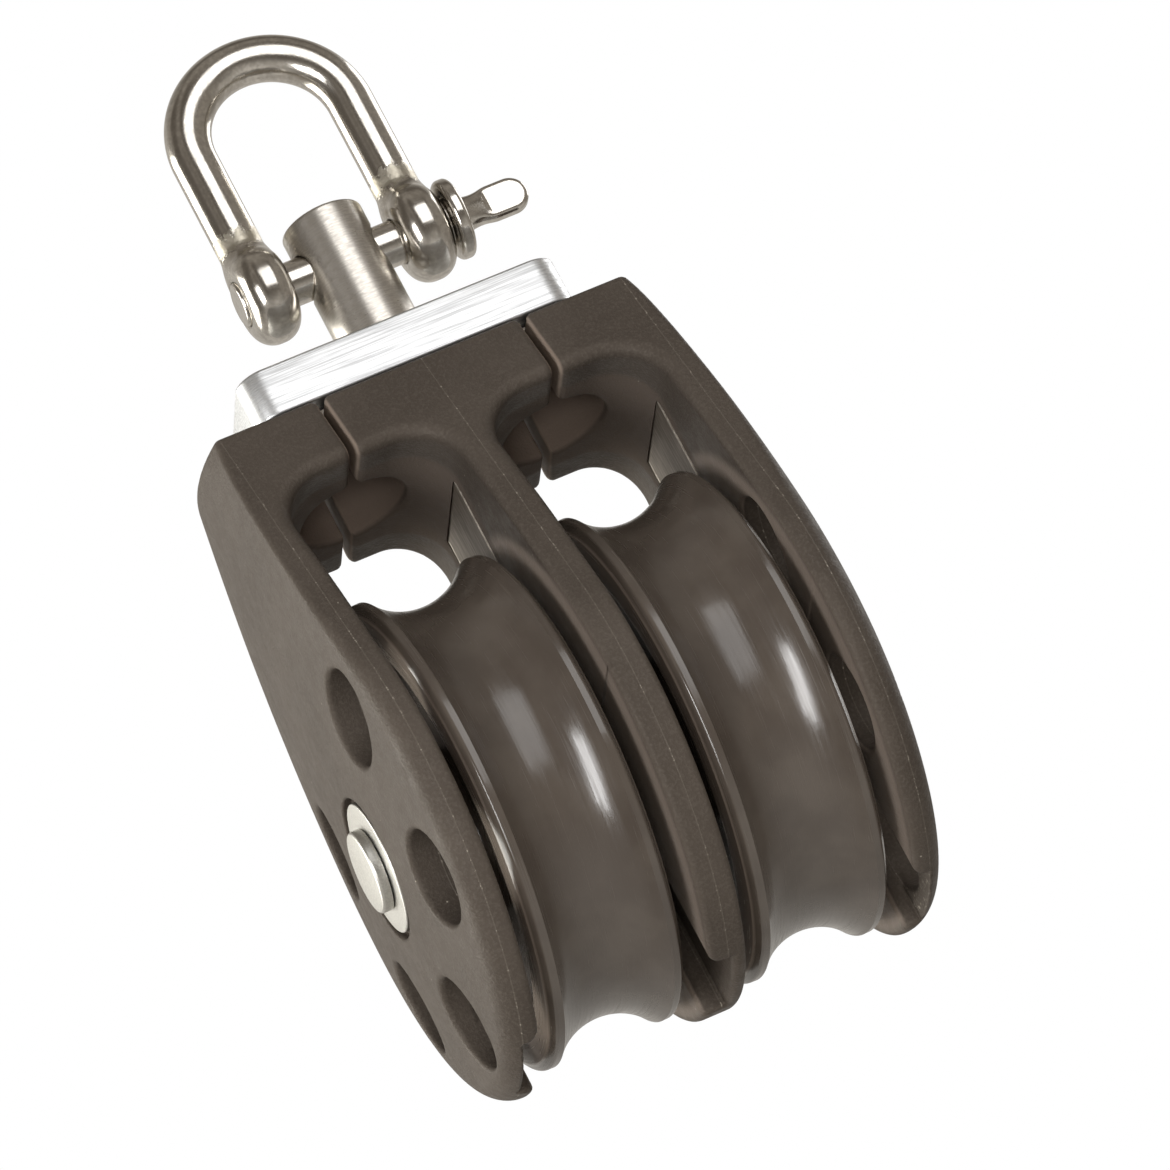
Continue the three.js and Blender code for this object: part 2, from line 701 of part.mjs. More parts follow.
// ---------------------------------------------------------------- shackle
class BowLine extends THREE.Curve {
  getPoint(t, target = new THREE.Vector3()) {
    const leg = CROWN_CENTRE - PIN_HEIGHT;
    const arc = Math.PI * LEG_OFFSET;
    const along = t * (2 * leg + arc);
    if (along < leg) return target.set(-LEG_OFFSET, 0, PIN_HEIGHT + along);
    if (along > leg + arc) return target.set(LEG_OFFSET, 0, CROWN_CENTRE - (along - leg - arc));
    const turn = Math.PI - (along - leg) / LEG_OFFSET;
    return target.set(
      LEG_OFFSET * Math.cos(turn),
      0,
      CROWN_CENTRE + LEG_OFFSET * Math.sin(turn),
    );
  }
}

function ear(x) {
  const STEPS = 6;
  const profile = [[-EAR_HALF_THICKNESS, 0]];
  for (let k = 0; k <= STEPS; k++) {
    const turn = (k / STEPS - 0.5) * Math.PI;
    const along = EAR_HALF_THICKNESS * Math.sign(turn) * Math.abs(Math.sin(turn)) ** 0.8;
    profile.push([along, EAR_RADIUS - 2.9 * (1 - Math.cos(turn) ** 0.8)]);
  }
  profile.push([EAR_HALF_THICKNESS, 0]);
  const geometry = toGeometry(turnedX(profile, 28));
  geometry.translate(x, 0, PIN_HEIGHT);
  return toSolid(geometry);
}

function shackleBow() {
  const ring = new THREE.Shape();
  ring.absarc(0, 0, ROD_RADIUS, 0, 2 * Math.PI, false);
  const rod = new THREE.ExtrudeGeometry(ring, {
    steps: 26,
    extrudePath: new BowLine(),
    curveSegments: 8,
  });
  return cut(
    joined(toSolid(rod), ear(-LEG_OFFSET), ear(LEG_OFFSET)),
    discX(PIN_RADIUS + RUNNING_CLEARANCE, -30, 30, MEDIUM, 0, PIN_HEIGHT),
  );
}

function shacklePin() {
  const collarOut = COLLAR_INNER_FACE + COLLAR_THICKNESS;
  const profile = [
    [PIN_TIP, 0],
    [PIN_TIP, PIN_RADIUS - 0.4],
    [PIN_TIP + 0.4, PIN_RADIUS],
    [COLLAR_INNER_FACE, PIN_RADIUS],
    [COLLAR_INNER_FACE, COLLAR_RADIUS - 0.5],
    [COLLAR_INNER_FACE + 0.5, COLLAR_RADIUS],
    [collarOut - 0.6, COLLAR_RADIUS],
    [collarOut, COLLAR_RADIUS - 0.8],
    [collarOut, 2.6],
    [collarOut + 1.6, 1.6],
    [collarOut + 1.6, 0],
  ];
  const shank = toGeometry(turnedX(profile, MEDIUM));
  shank.translate(0, 0, PIN_HEIGHT);
  const shape = new THREE.Shape();
  const start = collarOut - 0.5;
  shape.moveTo(start, -1.9);
  shape.lineTo(start + 2.2, -1.9);
  shape.quadraticCurveTo(start + 3.4, -1.9, start + 4.2, -TAB_HALF_WIDTH);
  shape.lineTo(TAB_END - TAB_HALF_WIDTH, -TAB_HALF_WIDTH);
  shape.absarc(TAB_END - TAB_HALF_WIDTH, 0, TAB_HALF_WIDTH, -Math.PI / 2, Math.PI / 2, false);
  shape.lineTo(start + 4.2, TAB_HALF_WIDTH);
  shape.quadraticCurveTo(start + 3.4, 1.9, start + 2.2, 1.9);
  shape.lineTo(start, 1.9);
  const tab = toGeometry(plateY(shape, -TAB_THICKNESS / 2, TAB_THICKNESS / 2, 6));
  tab.translate(0, 0, PIN_HEIGHT);
  return joined(toSolid(shank), toSolid(tab));
}

// ---------------------------------------------------------------- assembly
const finish = {
  moulding: new THREE.MeshStandardMaterial({ color: 0x4b443e, roughness: 0.65, metalness: 0 }),
  sheave: new THREE.MeshStandardMaterial({ color: 0x4a433c, roughness: 0.3, metalness: 0 }),
  bearing: new THREE.MeshStandardMaterial({ color: 0xe8e4d8, roughness: 0.5, metalness: 0 }),
  aluminium: new THREE.MeshStandardMaterial({ color: 0xe2e4e6, roughness: 0.35, metalness: 1 }),
  strap: new THREE.MeshStandardMaterial({ color: 0xb9b7b1, roughness: 0.35, metalness: 1 }),
  steel: new THREE.MeshStandardMaterial({ color: 0xc4c0b8, roughness: 0.18, metalness: 1 }),
};

const group = new THREE.Group();

function place(name, solid, material) {
  const geometry = toGeometry(solid);
  geometry.translate(0, 0, -HANG_HEIGHT);
  const mesh = new THREE.Mesh(geometry, material.clone());
  mesh.name = name;
  group.add(mesh);
}

function placePair(name, rightSolid, material) {
  place(name + "_right", rightSolid, material);
  place(name + "_left", mirrored(rightSolid), material);
}

placePair("cheek_outer", outerCheek(), finish.moulding);
place("cheek_centre", centreCheek(), finish.moulding);
placePair("load_strap", strap(), finish.strap);
placePair("strap_screw", strapScrew(), finish.steel);
placePair("sheave", sheave(), finish.sheave);
placePair("sheave_sleeve", sleeve(), finish.bearing);
placePair("thrust_washer_inner", thrustWasher(BAY_INNER_WALL + thrustGapIn), finish.bearing);
placePair("thrust_washer_outer", thrustWasher(hubEnd + thrustGapOut), finish.bearing);
placePair("axle_washer", axleWasher(), finish.strap);
place("axle_pin", axlePin(), finish.steel);
place("axle_cap", axleCap(), finish.steel);
place("crosshead_bar", crossheadBar(), finish.aluminium);
place("swivel_post", swivelPost(), finish.steel);
place("swivel_nut", swivelNut(), finish.steel);
place("swivel_washer", swivelWasher(), finish.bearing);
place("shackle_bow", shackleBow(), finish.steel);
place("shackle_pin", shacklePin(), finish.steel);

export default group;
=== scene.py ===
"""Looks of a double sheave block with a swivel post and a D-shackle.

Shapes are worked out in millimetres about the axle's centre and then set down in metres in the row frame.
X runs along the axle, Y the way the line runs, and Z up towards the shackle.
"""

import math

import bpy
import numpy as np
from mathutils import Matrix, Vector


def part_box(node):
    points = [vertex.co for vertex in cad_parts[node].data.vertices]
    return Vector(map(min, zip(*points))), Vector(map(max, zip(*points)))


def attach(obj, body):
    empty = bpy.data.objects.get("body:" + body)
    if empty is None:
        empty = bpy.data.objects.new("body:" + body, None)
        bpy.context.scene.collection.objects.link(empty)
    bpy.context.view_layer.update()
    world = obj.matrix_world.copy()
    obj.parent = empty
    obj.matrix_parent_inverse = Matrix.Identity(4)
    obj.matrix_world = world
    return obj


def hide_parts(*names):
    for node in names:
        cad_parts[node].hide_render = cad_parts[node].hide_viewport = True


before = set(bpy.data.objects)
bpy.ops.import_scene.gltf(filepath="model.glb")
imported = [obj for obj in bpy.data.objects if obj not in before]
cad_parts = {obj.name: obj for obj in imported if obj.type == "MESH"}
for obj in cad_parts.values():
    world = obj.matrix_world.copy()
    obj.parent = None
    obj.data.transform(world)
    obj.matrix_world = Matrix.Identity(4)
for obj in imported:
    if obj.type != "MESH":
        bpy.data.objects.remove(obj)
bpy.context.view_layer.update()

MM = 0.001
low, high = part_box("sheave_right")
AXLE_Z = (low.z + high.z) / 2 / MM  # height of the axle in the row frame

# ---------------------------------------------------------------- dimensions
# sheaves, with their sleeves and thrust washers
BAY_CENTRE = 13.75
SHEAVE_RADIUS = 30.5
GROOVE_FLOOR_RADIUS = 27.1
GROOVE_ARC_RADIUS = 9.5
GROOVE_HALF_WIDTH = 7.3
FLANGE_HALF_WIDTH = 9.05
WEB_HALF_WIDTH = 6.2
WEB_OUTER_RADIUS = 24
HUB_HALF_WIDTH = 10.1
HUB_RADIUS = 10.2
SLEEVE_RADIUS = 6.5
SHEAVE_BORE_RADIUS = SLEEVE_RADIUS + 0.05
SLEEVE_INNER_END = 2.6
SLEEVE_OUTER_END = 24.95
THRUST_RADIUS = 9.5
THRUST_BORE_RADIUS = SLEEVE_RADIUS + 0.1

# axle, its washers and its cap
AXLE_RADIUS = 4
SLEEVE_BORE_RADIUS = AXLE_RADIUS + 0.05
WASHER_BORE_RADIUS = AXLE_RADIUS + 0.1
AXLE_HOLE_RADIUS = AXLE_RADIUS + 0.15
AXLE_WASHER_RADIUS = 8.45
AXLE_WASHER_INNER_FACE = 30.5
AXLE_WASHER_THICKNESS = 1
AXLE_HEAD_RADIUS = 5.3
AXLE_HEAD_INNER_FACE = 31.65
AXLE_HEAD_OUTER_FACE = 33.1
AXLE_END = AXLE_HEAD_INNER_FACE - 0.25
CAP_STEM_RADIUS = 2.4
CAP_STEM_END = 20
CAP_BORE_RADIUS = CAP_STEM_RADIUS + 0.06
CAP_BORE_END = CAP_STEM_END - 2
CAP_SLOT_FLOOR = 32.4
CAP_SLOT_HALF_WIDTH = 0.6

# cheeks: outline, bays and roof
CHEEK_RADIUS = 32.4
HEAD_TOP = 55
HEAD_HALF_DEPTH = 12.6
BAY_OUTER_WALL = 25.1
BAY_INNER_WALL = 2.45
BAY_HALF_WIDTH = (BAY_OUTER_WALL - BAY_INNER_WALL) / 2
CEILING = 44.5
CEILING_CORNER = 7
SLIT_HALF = 0.5
WELL_RADIUS = 7.4
WELL_START = CEILING - 4
DOME_HEIGHT = 31.8
DOME_LOWER = 400
DOME_UPPER = 1700
DOME_TIGHTEN = 0.11
DOME_TIGHTEN_END = 3100

# cheeks: holes, washer seat and the channel that opens at the foot
HOLE_CIRCLE = 22.9
HOLE_RADIUS = 6.15
HOLE_DEGREES = (30, -30, -90, -150, 150)
WASHER_SEAT_RADIUS = 9.2
WASHER_SEAT_FLOOR = 30.3
OUTER_FLOOR = 27.2
CENTRE_FLOOR = 0.5
CHANNEL_FRONT = 8
CHANNEL_BACK = 5.4
CHANNEL_TOP = -6
CHANNEL_LIP = 1.9
SIDE_FLASH = 27.25  # how far from the middle the flash line on an outer cheek's edge lies

# cheeks: how far each edge is rounded
TOP_ROUND = 0.7
RIM_ROUND = (0.6, 3.2)  # at RIM_START and above, and at RIM_END and below
RIM_START = 34
RIM_END = -6
MOUTH_ROUND = (0.8, 2.1)  # at MOUTH_START and below, and at MOUTH_END and above
MOUTH_START = 24
MOUTH_END = 43
SLIT_ROUND = 0.9
SLOT_ROUND = 0.12
WELL_ROUND = 0.5
HOLE_ROUND = 0.75
SEAT_ROUND = 0.3
BORE_ROUND = 0.2

# load straps
STRAP_HALF_WIDTH = 8.5
STRAP_THICKNESS = 1.2
STRAP_TOP = 55.1
STRAP_BEND = 1.5
STRAP_SCREW_HOLE_RADIUS = 2.6

# crosshead bar
BAR_HALF_LENGTH = 21.7
BAR_HALF_DEPTH = 11.5
BAR_BOTTOM = 55.35
BAR_TOP = 62
BAR_CORNER = 3.5
BAR_EDGE = 0.4
NUT_WELL_RADIUS = 6.2
NUT_WELL_TOP = 59.4
BAR_SCREW_HOLE_RADIUS = 2.56
BAR_SCREW_HOLE_TOP = 60.3

# swivel post
POST_RADIUS = 5.45
POST_ROUND = 0.45
POST_BOTTOM = BAR_TOP + 0.15
POST_TOP = 82.5
SHANK_RADIUS = 4
SHANK_HOLE_RADIUS = SHANK_RADIUS + 0.3
SHANK_BOTTOM = 55.6
SHANK_TOP = POST_BOTTOM + 6.25
SHANK_ROUND = 0.3

# shackle bow
PIN_HEIGHT = 76.2
ROD_RADIUS = 3
LEG_OFFSET = 10.75
CROWN_CENTRE = 96.5
EAR_RADIUS = 6.4
EAR_HALF_THICKNESS = 3.15
EAR_ROUND = 2.9
EAR_FILLET = 1.3

# shackle pin, and its holes through the post and the ears
PIN_RADIUS = 2.9
POST_HOLE_RADIUS = PIN_RADIUS + 0.1
EAR_HOLE_RADIUS = PIN_RADIUS + 0.05
PIN_HOLE_ROUND = 0.35
PIN_TIP = -14.3
SHAFT_ROUND = 0.4
COLLAR_RADIUS = 5.3
COLLAR_IN = 14.45
COLLAR_OUT = 16.35
COLLAR_ROUND = 0.7
COLLAR_FILLET = 0.2
SHAFT_END = COLLAR_IN + 0.45
NECK_RADIUS = 2.3
NECK_TAPER = 0.35
NECK_START = 14.8
NECK_END = 19.2
NECK_FILLET = 0.6
TAB_START = COLLAR_OUT - 0.6
TAB_END = 25.6
TAB_HALF_WIDTH = 2.4
TAB_HALF_THICKNESS = 1.0
TAB_ROOT_NARROWING = 0.6
TAB_ROUND = 0.7
TAB_FILLET = 1.1


# ---------------------------------------------------------------- meshes into the row frame
SHARP_ANGLE = math.radians(32)


def in_frame(points):
    """Points in millimetres about the axle as metres in the row frame."""
    return (np.array(points, float) * MM + np.array((0, 0, AXLE_Z * MM))).tolist()


def place(node, points, faces, body, material, normals=None):
    """A mesh of points in millimetres about the axle, riding on a body and standing for a CAD node."""
    name = node + "_look"
    mesh = bpy.data.meshes.new(name)
    mesh.from_pydata(in_frame(points), [], [list(map(int, f)) for f in faces])
    mesh.validate()
    mesh.shade_smooth()
    if normals is None:
        mesh.set_sharp_from_angle(angle=SHARP_ANGLE)
    else:
        mesh.normals_split_custom_set_from_vertices(normals.tolist())
    mesh.materials.append(material)
    made = bpy.data.objects.new(name, mesh)
    bpy.context.scene.collection.objects.link(made)
    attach(made, body)
    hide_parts(node)
    return made


def mirrored(points, faces, normals):
    """The same surface on the other side of the block."""
    flip = np.array((-1.0, 1.0, 1.0))
    return points * flip, [f[::-1] for f in faces], normals * flip


# ---------------------------------------------------------------- solids from distance fields
def rounded_both(a, b, radius):
    """Inside both a and b, with the edge between them rounded."""
    return np.minimum(np.maximum(a, b), -radius) + np.hypot(
        np.maximum(a + radius, 0), np.maximum(b + radius, 0)
    )


def rounded_either(a, b, radius):
    """Inside a or b, with a fillet where they meet."""
    return -rounded_both(-a, -b, radius)


def between(value, low_edge, high_edge):
    """Negative between the two edges and positive outside them."""
    return np.abs(value - (low_edge + high_edge) / 2) - (high_edge - low_edge) / 2


def ease(low_edge, high_edge, value):
    """0 before the low edge, 1 past the high edge, and a smooth step between them."""
    t = np.clip((value - low_edge) / (high_edge - low_edge), 0, 1)
    return t * t * (3 - 2 * t)


def graded(ends, low_edge, high_edge, value):
    """One number before the low edge and the other past the high edge."""
    before, after = ends
    return before + (after - before) * ease(low_edge, high_edge, value)


def slope(field, p, reach=0.01):
    """Unit normals of the field and its steepness at the points."""
    parts = []
    for k in range(3):
        step = np.zeros(3)
        step[k] = reach
        ahead, behind = (p + step).T, (p - step).T
        parts.append((field(*ahead) - field(*behind)) / (2 * reach))
    g = np.stack(parts, 1)
    size = np.maximum(np.linalg.norm(g, axis=1), 1e-6)
    return g / size[:, None], size


def drawn_to(field, p, cell, times):
    """The points moved on to the surface, at most one cell at a time."""
    for _ in range(times):
        n, size = slope(field, p)
        move = np.clip(field(*p.T) / size, -cell, cell)
        p = p - n * move[:, None]
    return p


def surface_of(field, low_corner, high_corner, cell):
    """Points, faces and normals of surface nets over a grid, relaxed along the surface."""
    relax_rounds, relax_share = 3, 0.6
    low_corner = np.array(low_corner, float)
    count = np.ceil((np.array(high_corner) - low_corner) / cell).astype(int) + 1
    axes = [low_corner[k] + cell * np.arange(count[k]) for k in range(3)]
    grid = np.meshgrid(*axes, indexing="ij", sparse=True)
    value = np.broadcast_to(field(*grid), count).astype(float)
    solid = value < 0
    cells = count - 1
    total = np.zeros((int(np.prod(cells)), 4))
    quads = []
    for axis in range(3):
        ahead = tuple(slice(1, None) if k == axis else slice(None) for k in range(3))
        behind = tuple(slice(None, -1) if k == axis else slice(None) for k in range(3))
        at = np.argwhere(solid[ahead] != solid[behind])
        nearer = value[behind][tuple(at.T)]
        further = value[ahead][tuple(at.T)]
        crossing = at.astype(float)
        crossing[:, axis] += nearer / (nearer - further)
        a, b = [k for k in range(3) if k != axis]
        corners = []
        for da, db in ((-1, -1), (0, -1), (0, 0), (-1, 0)):
            c = at.copy()
            c[:, a] += da
            c[:, b] += db
            corners.append(np.ravel_multi_index(c.T, cells))
        for c in corners:
            for k in range(3):
                total[:, k] += np.bincount(c, crossing[:, k], len(total))
            total[:, 3] += np.bincount(c, minlength=len(total))
        quad = np.stack(corners, 1)
        turn = (nearer < 0) == (axis == 1)
        quad[turn] = quad[turn][:, ::-1]
        quads.append(quad)
    used = total[:, 3] > 0
    index = np.cumsum(used) - 1
    p = total[used, :3] / total[used, 3:] * cell + low_corner
    quads = index[np.concatenate(quads)]
    ends = np.concatenate([quads[:, (k, (k + 1) % 4)] for k in range(4)])
    ends = np.concatenate([ends, ends[:, ::-1]])
    near = np.bincount(ends[:, 0], minlength=len(p))[:, None]
    p = drawn_to(field, p, cell, 2)
    for _ in range(relax_rounds):
        mean = np.stack([np.bincount(ends[:, 0], p[ends[:, 1], k], len(p)) for k in range(3)], 1) / near
        n, _ = slope(field, p)
        pull = mean - p
        pull -= n * np.sum(pull * n, 1)[:, None]
        p = drawn_to(field, p + relax_share * pull, cell, 1)
    p = drawn_to(field, p, cell, 2)
    return p, quads.tolist(), slope(field, p)[0]


# ---------------------------------------------------------------- the cheeks
corner_distance = math.hypot(HEAD_HALF_DEPTH, HEAD_TOP)
FLANK_ANGLE = math.atan2(HEAD_TOP, HEAD_HALF_DEPTH) - math.acos(CHEEK_RADIUS / corner_distance)


def outline(y, z):
    """A round foot about the axle, two flanks touching it, and a flat top."""
    y = np.abs(y)
    c, s = math.cos(FLANK_ANGLE), math.sin(FLANK_ANGLE)
    side = np.where(z * c - y * s > 0, y * c + z * s, np.hypot(y, z)) - CHEEK_RADIUS
    return rounded_both(side, z - HEAD_TOP, TOP_ROUND)


def dome(y, z):
    """How far out an outer cheek's crowned face stands."""
    lower = DOME_HEIGHT - (y * y + z * z) / DOME_LOWER
    spread = DOME_LOWER - DOME_TIGHTEN * np.minimum(z * z, DOME_TIGHTEN_END)
    upper = DOME_HEIGHT - z * z / DOME_UPPER - y * y / spread
    return np.where(z <= 0, lower, upper)


def passage(x, z):
    """The open space of a bay, for x at least the middle of the block."""
    side = np.abs(x - BAY_CENTRE) - BAY_HALF_WIDTH
    return rounded_both(side, z - CEILING, CEILING_CORNER)


def inner_face(x, y, z, floor):
    """A cheek's face towards the sheave, at x = 0, with the foot channel let into it towards +x."""
    across = np.minimum(y + CHANNEL_FRONT, CHANNEL_BACK - y)
    strip = np.minimum(np.minimum(across, CHANNEL_TOP - z), floor - x)
    return rounded_both(-x, strip, CHANNEL_LIP)


def strap_slot(x, y, z):
    """Where a load strap lies in the mouldings, for x at least the middle of the block."""
    spare = 0.1
    across = np.where(z > 0, np.abs(y), np.hypot(y, z)) - STRAP_HALF_WIDTH - spare
    inner = between(x, BAY_INNER_WALL - STRAP_THICKNESS - spare, BAY_INNER_WALL + spare)
    outer = between(x, BAY_OUTER_WALL - spare, BAY_OUTER_WALL + STRAP_THICKNESS + spare)
    width = np.abs(x - BAY_CENTRE) - BAY_HALF_WIDTH - STRAP_THICKNESS - spare
    bridge = np.maximum(width, STRAP_TOP - STRAP_THICKNESS - spare - z)
    return np.maximum(np.minimum(np.minimum(inner, outer), bridge), across)


def well(x, y, z):
    """The well in the roof of a bay, under the strap screw."""
    return np.maximum(np.hypot(x - BAY_CENTRE, y) - WELL_RADIUS, WELL_START - z)


def fitted(body, x, y, z):
    """A cheek with room for the load strap, the well and the axle. x is as for strap_slot."""
    body = rounded_both(body, -strap_slot(x, y, z), SLOT_ROUND)
    body = rounded_both(body, -well(x, y, z), WELL_ROUND)
    return rounded_both(body, AXLE_HOLE_RADIUS - np.hypot(y, z), BORE_ROUND)


def mouth_round(z):
    return graded(MOUTH_ROUND, MOUTH_START, MOUTH_END, z)


def outer_cheek(x, y, z):
    """The right one: crowned outside, with the holes and the washer seat."""
    edge = outline(y, z)
    body = rounded_both(edge, x - dome(y, z), graded(RIM_ROUND, -RIM_START, -RIM_END, -z))
    foot = inner_face(x - BAY_OUTER_WALL, y, z, OUTER_FLOOR - BAY_OUTER_WALL)
    wall = np.where(z < 0, foot, -passage(x, z))
    body = np.maximum(body, rounded_both(edge, wall, mouth_round(z)))
    body = rounded_both(body, BAY_CENTRE + SLIT_HALF - x, SLIT_ROUND)
    for degrees in HOLE_DEGREES:
        angle = math.radians(degrees)
        hole = np.hypot(y - HOLE_CIRCLE * math.cos(angle), z - HOLE_CIRCLE * math.sin(angle))
        body = rounded_both(body, HOLE_RADIUS - hole, HOLE_ROUND)
    seat = np.maximum(np.hypot(y, z) - WASHER_SEAT_RADIUS, WASHER_SEAT_FLOOR - x)
    return fitted(rounded_both(body, -seat, SEAT_ROUND), x, y, z)


def centre_cheek(x, y, z):
    """The one between the bays, with a foot channel on its left side only."""
    out = np.abs(x)
    edge = outline(y, z)
    foot = inner_face(x + BAY_INNER_WALL, y, z, CENTRE_FLOOR + BAY_INNER_WALL)
    foot = np.maximum(foot, x - BAY_INNER_WALL)
    wall = np.where(z < 0, foot, -passage(out, z))
    body = rounded_both(edge, wall, mouth_round(z))
    return fitted(rounded_both(body, out - BAY_CENTRE + SLIT_HALF, SLIT_ROUND), out, y, z)


# ---------------------------------------------------------------- post, shackle and pin
def swivel_post(x, y, z):
    """A post with a cross hole for the pin, and a thinner shank that runs down through the bar."""
    from_middle = np.hypot(x, y)
    upper = rounded_both(from_middle - POST_RADIUS, between(z, POST_BOTTOM, POST_TOP), POST_ROUND)
    shank = rounded_both(from_middle - SHANK_RADIUS, between(z, SHANK_BOTTOM, SHANK_TOP), SHANK_ROUND)
    body = np.minimum(upper, shank)
    return rounded_both(body, POST_HOLE_RADIUS - np.hypot(y, z - PIN_HEIGHT), PIN_HOLE_ROUND)


def shackle_bow(x, y, z):
    """A half ring over two legs, with a flat ear at the foot of each and the pin's hole through both."""
    out = np.abs(x)
    crown = np.hypot(np.hypot(x, z - CROWN_CENTRE) - LEG_OFFSET, y)
    leg = np.sqrt((out - LEG_OFFSET) ** 2 + y * y + np.minimum(z - PIN_HEIGHT, 0) ** 2)
    rod = np.where(z > CROWN_CENTRE, crown, leg) - ROD_RADIUS
    from_pin = np.hypot(y, z - PIN_HEIGHT)
    ear = rounded_both(from_pin - EAR_RADIUS, np.abs(out - LEG_OFFSET) - EAR_HALF_THICKNESS, EAR_ROUND)
    body = rounded_either(rod, ear, EAR_FILLET)
    return rounded_both(body, EAR_HOLE_RADIUS - from_pin, PIN_HOLE_ROUND)


def shackle_pin(x, y, z):
    """A shaft, a collar, a tapering neck and a flat tab with a round end."""
    up = z - PIN_HEIGHT
    from_axis = np.hypot(y, up)
    shaft = rounded_both(from_axis - PIN_RADIUS, between(x, PIN_TIP, SHAFT_END), SHAFT_ROUND)
    collar = rounded_both(from_axis - COLLAR_RADIUS, between(x, COLLAR_IN, COLLAR_OUT), COLLAR_ROUND)
    body = rounded_either(shaft, collar, COLLAR_FILLET)
    side = from_axis - NECK_RADIUS + NECK_TAPER * (x - COLLAR_OUT)
    body = rounded_either(body, np.maximum(side, between(x, NECK_START, NECK_END)), NECK_FILLET)
    narrowing = graded((TAB_ROOT_NARROWING, 0), COLLAR_OUT + 1, COLLAR_OUT + 4.5, x)
    round_end = np.hypot(np.maximum(x - TAB_END + TAB_HALF_WIDTH, 0), up)
    plan = np.maximum(round_end - TAB_HALF_WIDTH + narrowing, TAB_START - x)
    tab = rounded_both(plan, np.abs(y) - TAB_HALF_THICKNESS, TAB_ROUND)
    return rounded_either(body, tab, TAB_FILLET)


# ---------------------------------------------------------------- turned parts
def eased(profile, steps=5):
    """A closed profile of (along, radius, fillet) with its corners rounded."""
    made = []
    count = len(profile)
    for i, (a, r, fillet) in enumerate(profile):
        here = np.array((a, r), float)
        if fillet <= 0:
            made.append(here)
            continue
        before = np.array(profile[i - 1][:2], float) - here
        after = np.array(profile[(i + 1) % count][:2], float) - here
        u = before / np.linalg.norm(before)
        v = after / np.linalg.norm(after)
        half = math.acos(max(-1, min(1, float(u @ v)))) / 2
        room = 0.49 * min(np.linalg.norm(before), np.linalg.norm(after))
        reach = min(fillet / math.tan(half), room)
        radius = reach * math.tan(half)
        middle = here + (u + v) / np.linalg.norm(u + v) * radius / math.sin(half)
        start, stop = here + u * reach - middle, here + v * reach - middle
        sweep = math.atan2(start[0] * stop[1] - start[1] * stop[0], float(start @ stop))
        for k in range(steps + 1):
            turn = sweep * k / steps
            c, s = math.cos(turn), math.sin(turn)
            made.append(middle + np.array(((c, -s), (s, c))) @ start)
    return made


def turned(profile, facets, axis, centre=(0, 0, 0)):
    """A solid of revolution about x or z. The profile goes round its section, or from axis to axis."""
    angles = np.arange(facets) / facets * 2 * math.pi
    points, rows = [], []
    for along, radius in profile:
        if radius < 1e-6:
            rows.append([len(points)] * facets)
            points.append((along, 0.0, 0.0))
            continue
        rows.append(list(range(len(points), len(points) + facets)))
        points.extend((along, radius * math.cos(t), radius * math.sin(t)) for t in angles)
    faces = []
    for i in range(len(rows)):
        one, two = rows[i], rows[(i + 1) % len(rows)]
        if one[0] == one[1] and two[0] == two[1]:
            continue
        for k in range(facets):
            j = (k + 1) % facets
            face = [one[k], two[k], two[j], one[j]]
            faces.append([v for n, v in enumerate(face) if v not in face[:n]])
    points = np.array(points)
    if axis == "z":
        points = points[:, (1, 2, 0)]
    return points + np.array(centre, float), faces


def facing_out(points, faces):
    """The faces turned so that the solid's volume is positive."""
    p = np.array(points)
    fans = ((f[0], f[k], f[k + 1]) for f in faces for k in range(1, len(f) - 1))
    volume = sum(np.dot(p[a], np.cross(p[b], p[c])) for a, b, c in fans)
    return faces if volume > 0 else [f[::-1] for f in faces]


def sheave_profile():
    """The section of a sheave about its own middle: bore, hub, web, flange and round groove."""
    right = [
        (HUB_HALF_WIDTH, SHEAVE_BORE_RADIUS, 0.3),
        (HUB_HALF_WIDTH, HUB_RADIUS, 0.5),
        (WEB_HALF_WIDTH, HUB_RADIUS + 0.8, 1.0),
        (WEB_HALF_WIDTH, WEB_OUTER_RADIUS, 1.5),
        (FLANGE_HALF_WIDTH, WEB_OUTER_RADIUS + 1.2, 0.5),
        (FLANGE_HALF_WIDTH, SHEAVE_RADIUS - 1.3, 0.35),
        (FLANGE_HALF_WIDTH - 0.75, SHEAVE_RADIUS, 0.55),
        (GROOVE_HALF_WIDTH + 0.35, SHEAVE_RADIUS, 0.4),
    ]
    steps = 28
    groove = []
    for k in range(steps + 1):
        x = GROOVE_HALF_WIDTH * (1 - 2 * k / steps)
        drop = math.sqrt(GROOVE_ARC_RADIUS**2 - x * x)
        groove.append((x, GROOVE_FLOOR_RADIUS + GROOVE_ARC_RADIUS - drop, 0))
    left = [(-a, r, f) for a, r, f in reversed(right)]
    return eased(right + groove + left)


# ---------------------------------------------------------------- strap and bar
def skin(rings, count):
    """Quads between rings of count points that follow one another."""
    faces = []
    for i in range(rings - 1):
        a, b = i * count, (i + 1) * count
        for k in range(count):
            j = (k + 1) % count
            faces.append([a + k, a + j, b + j, b + k])
    return faces


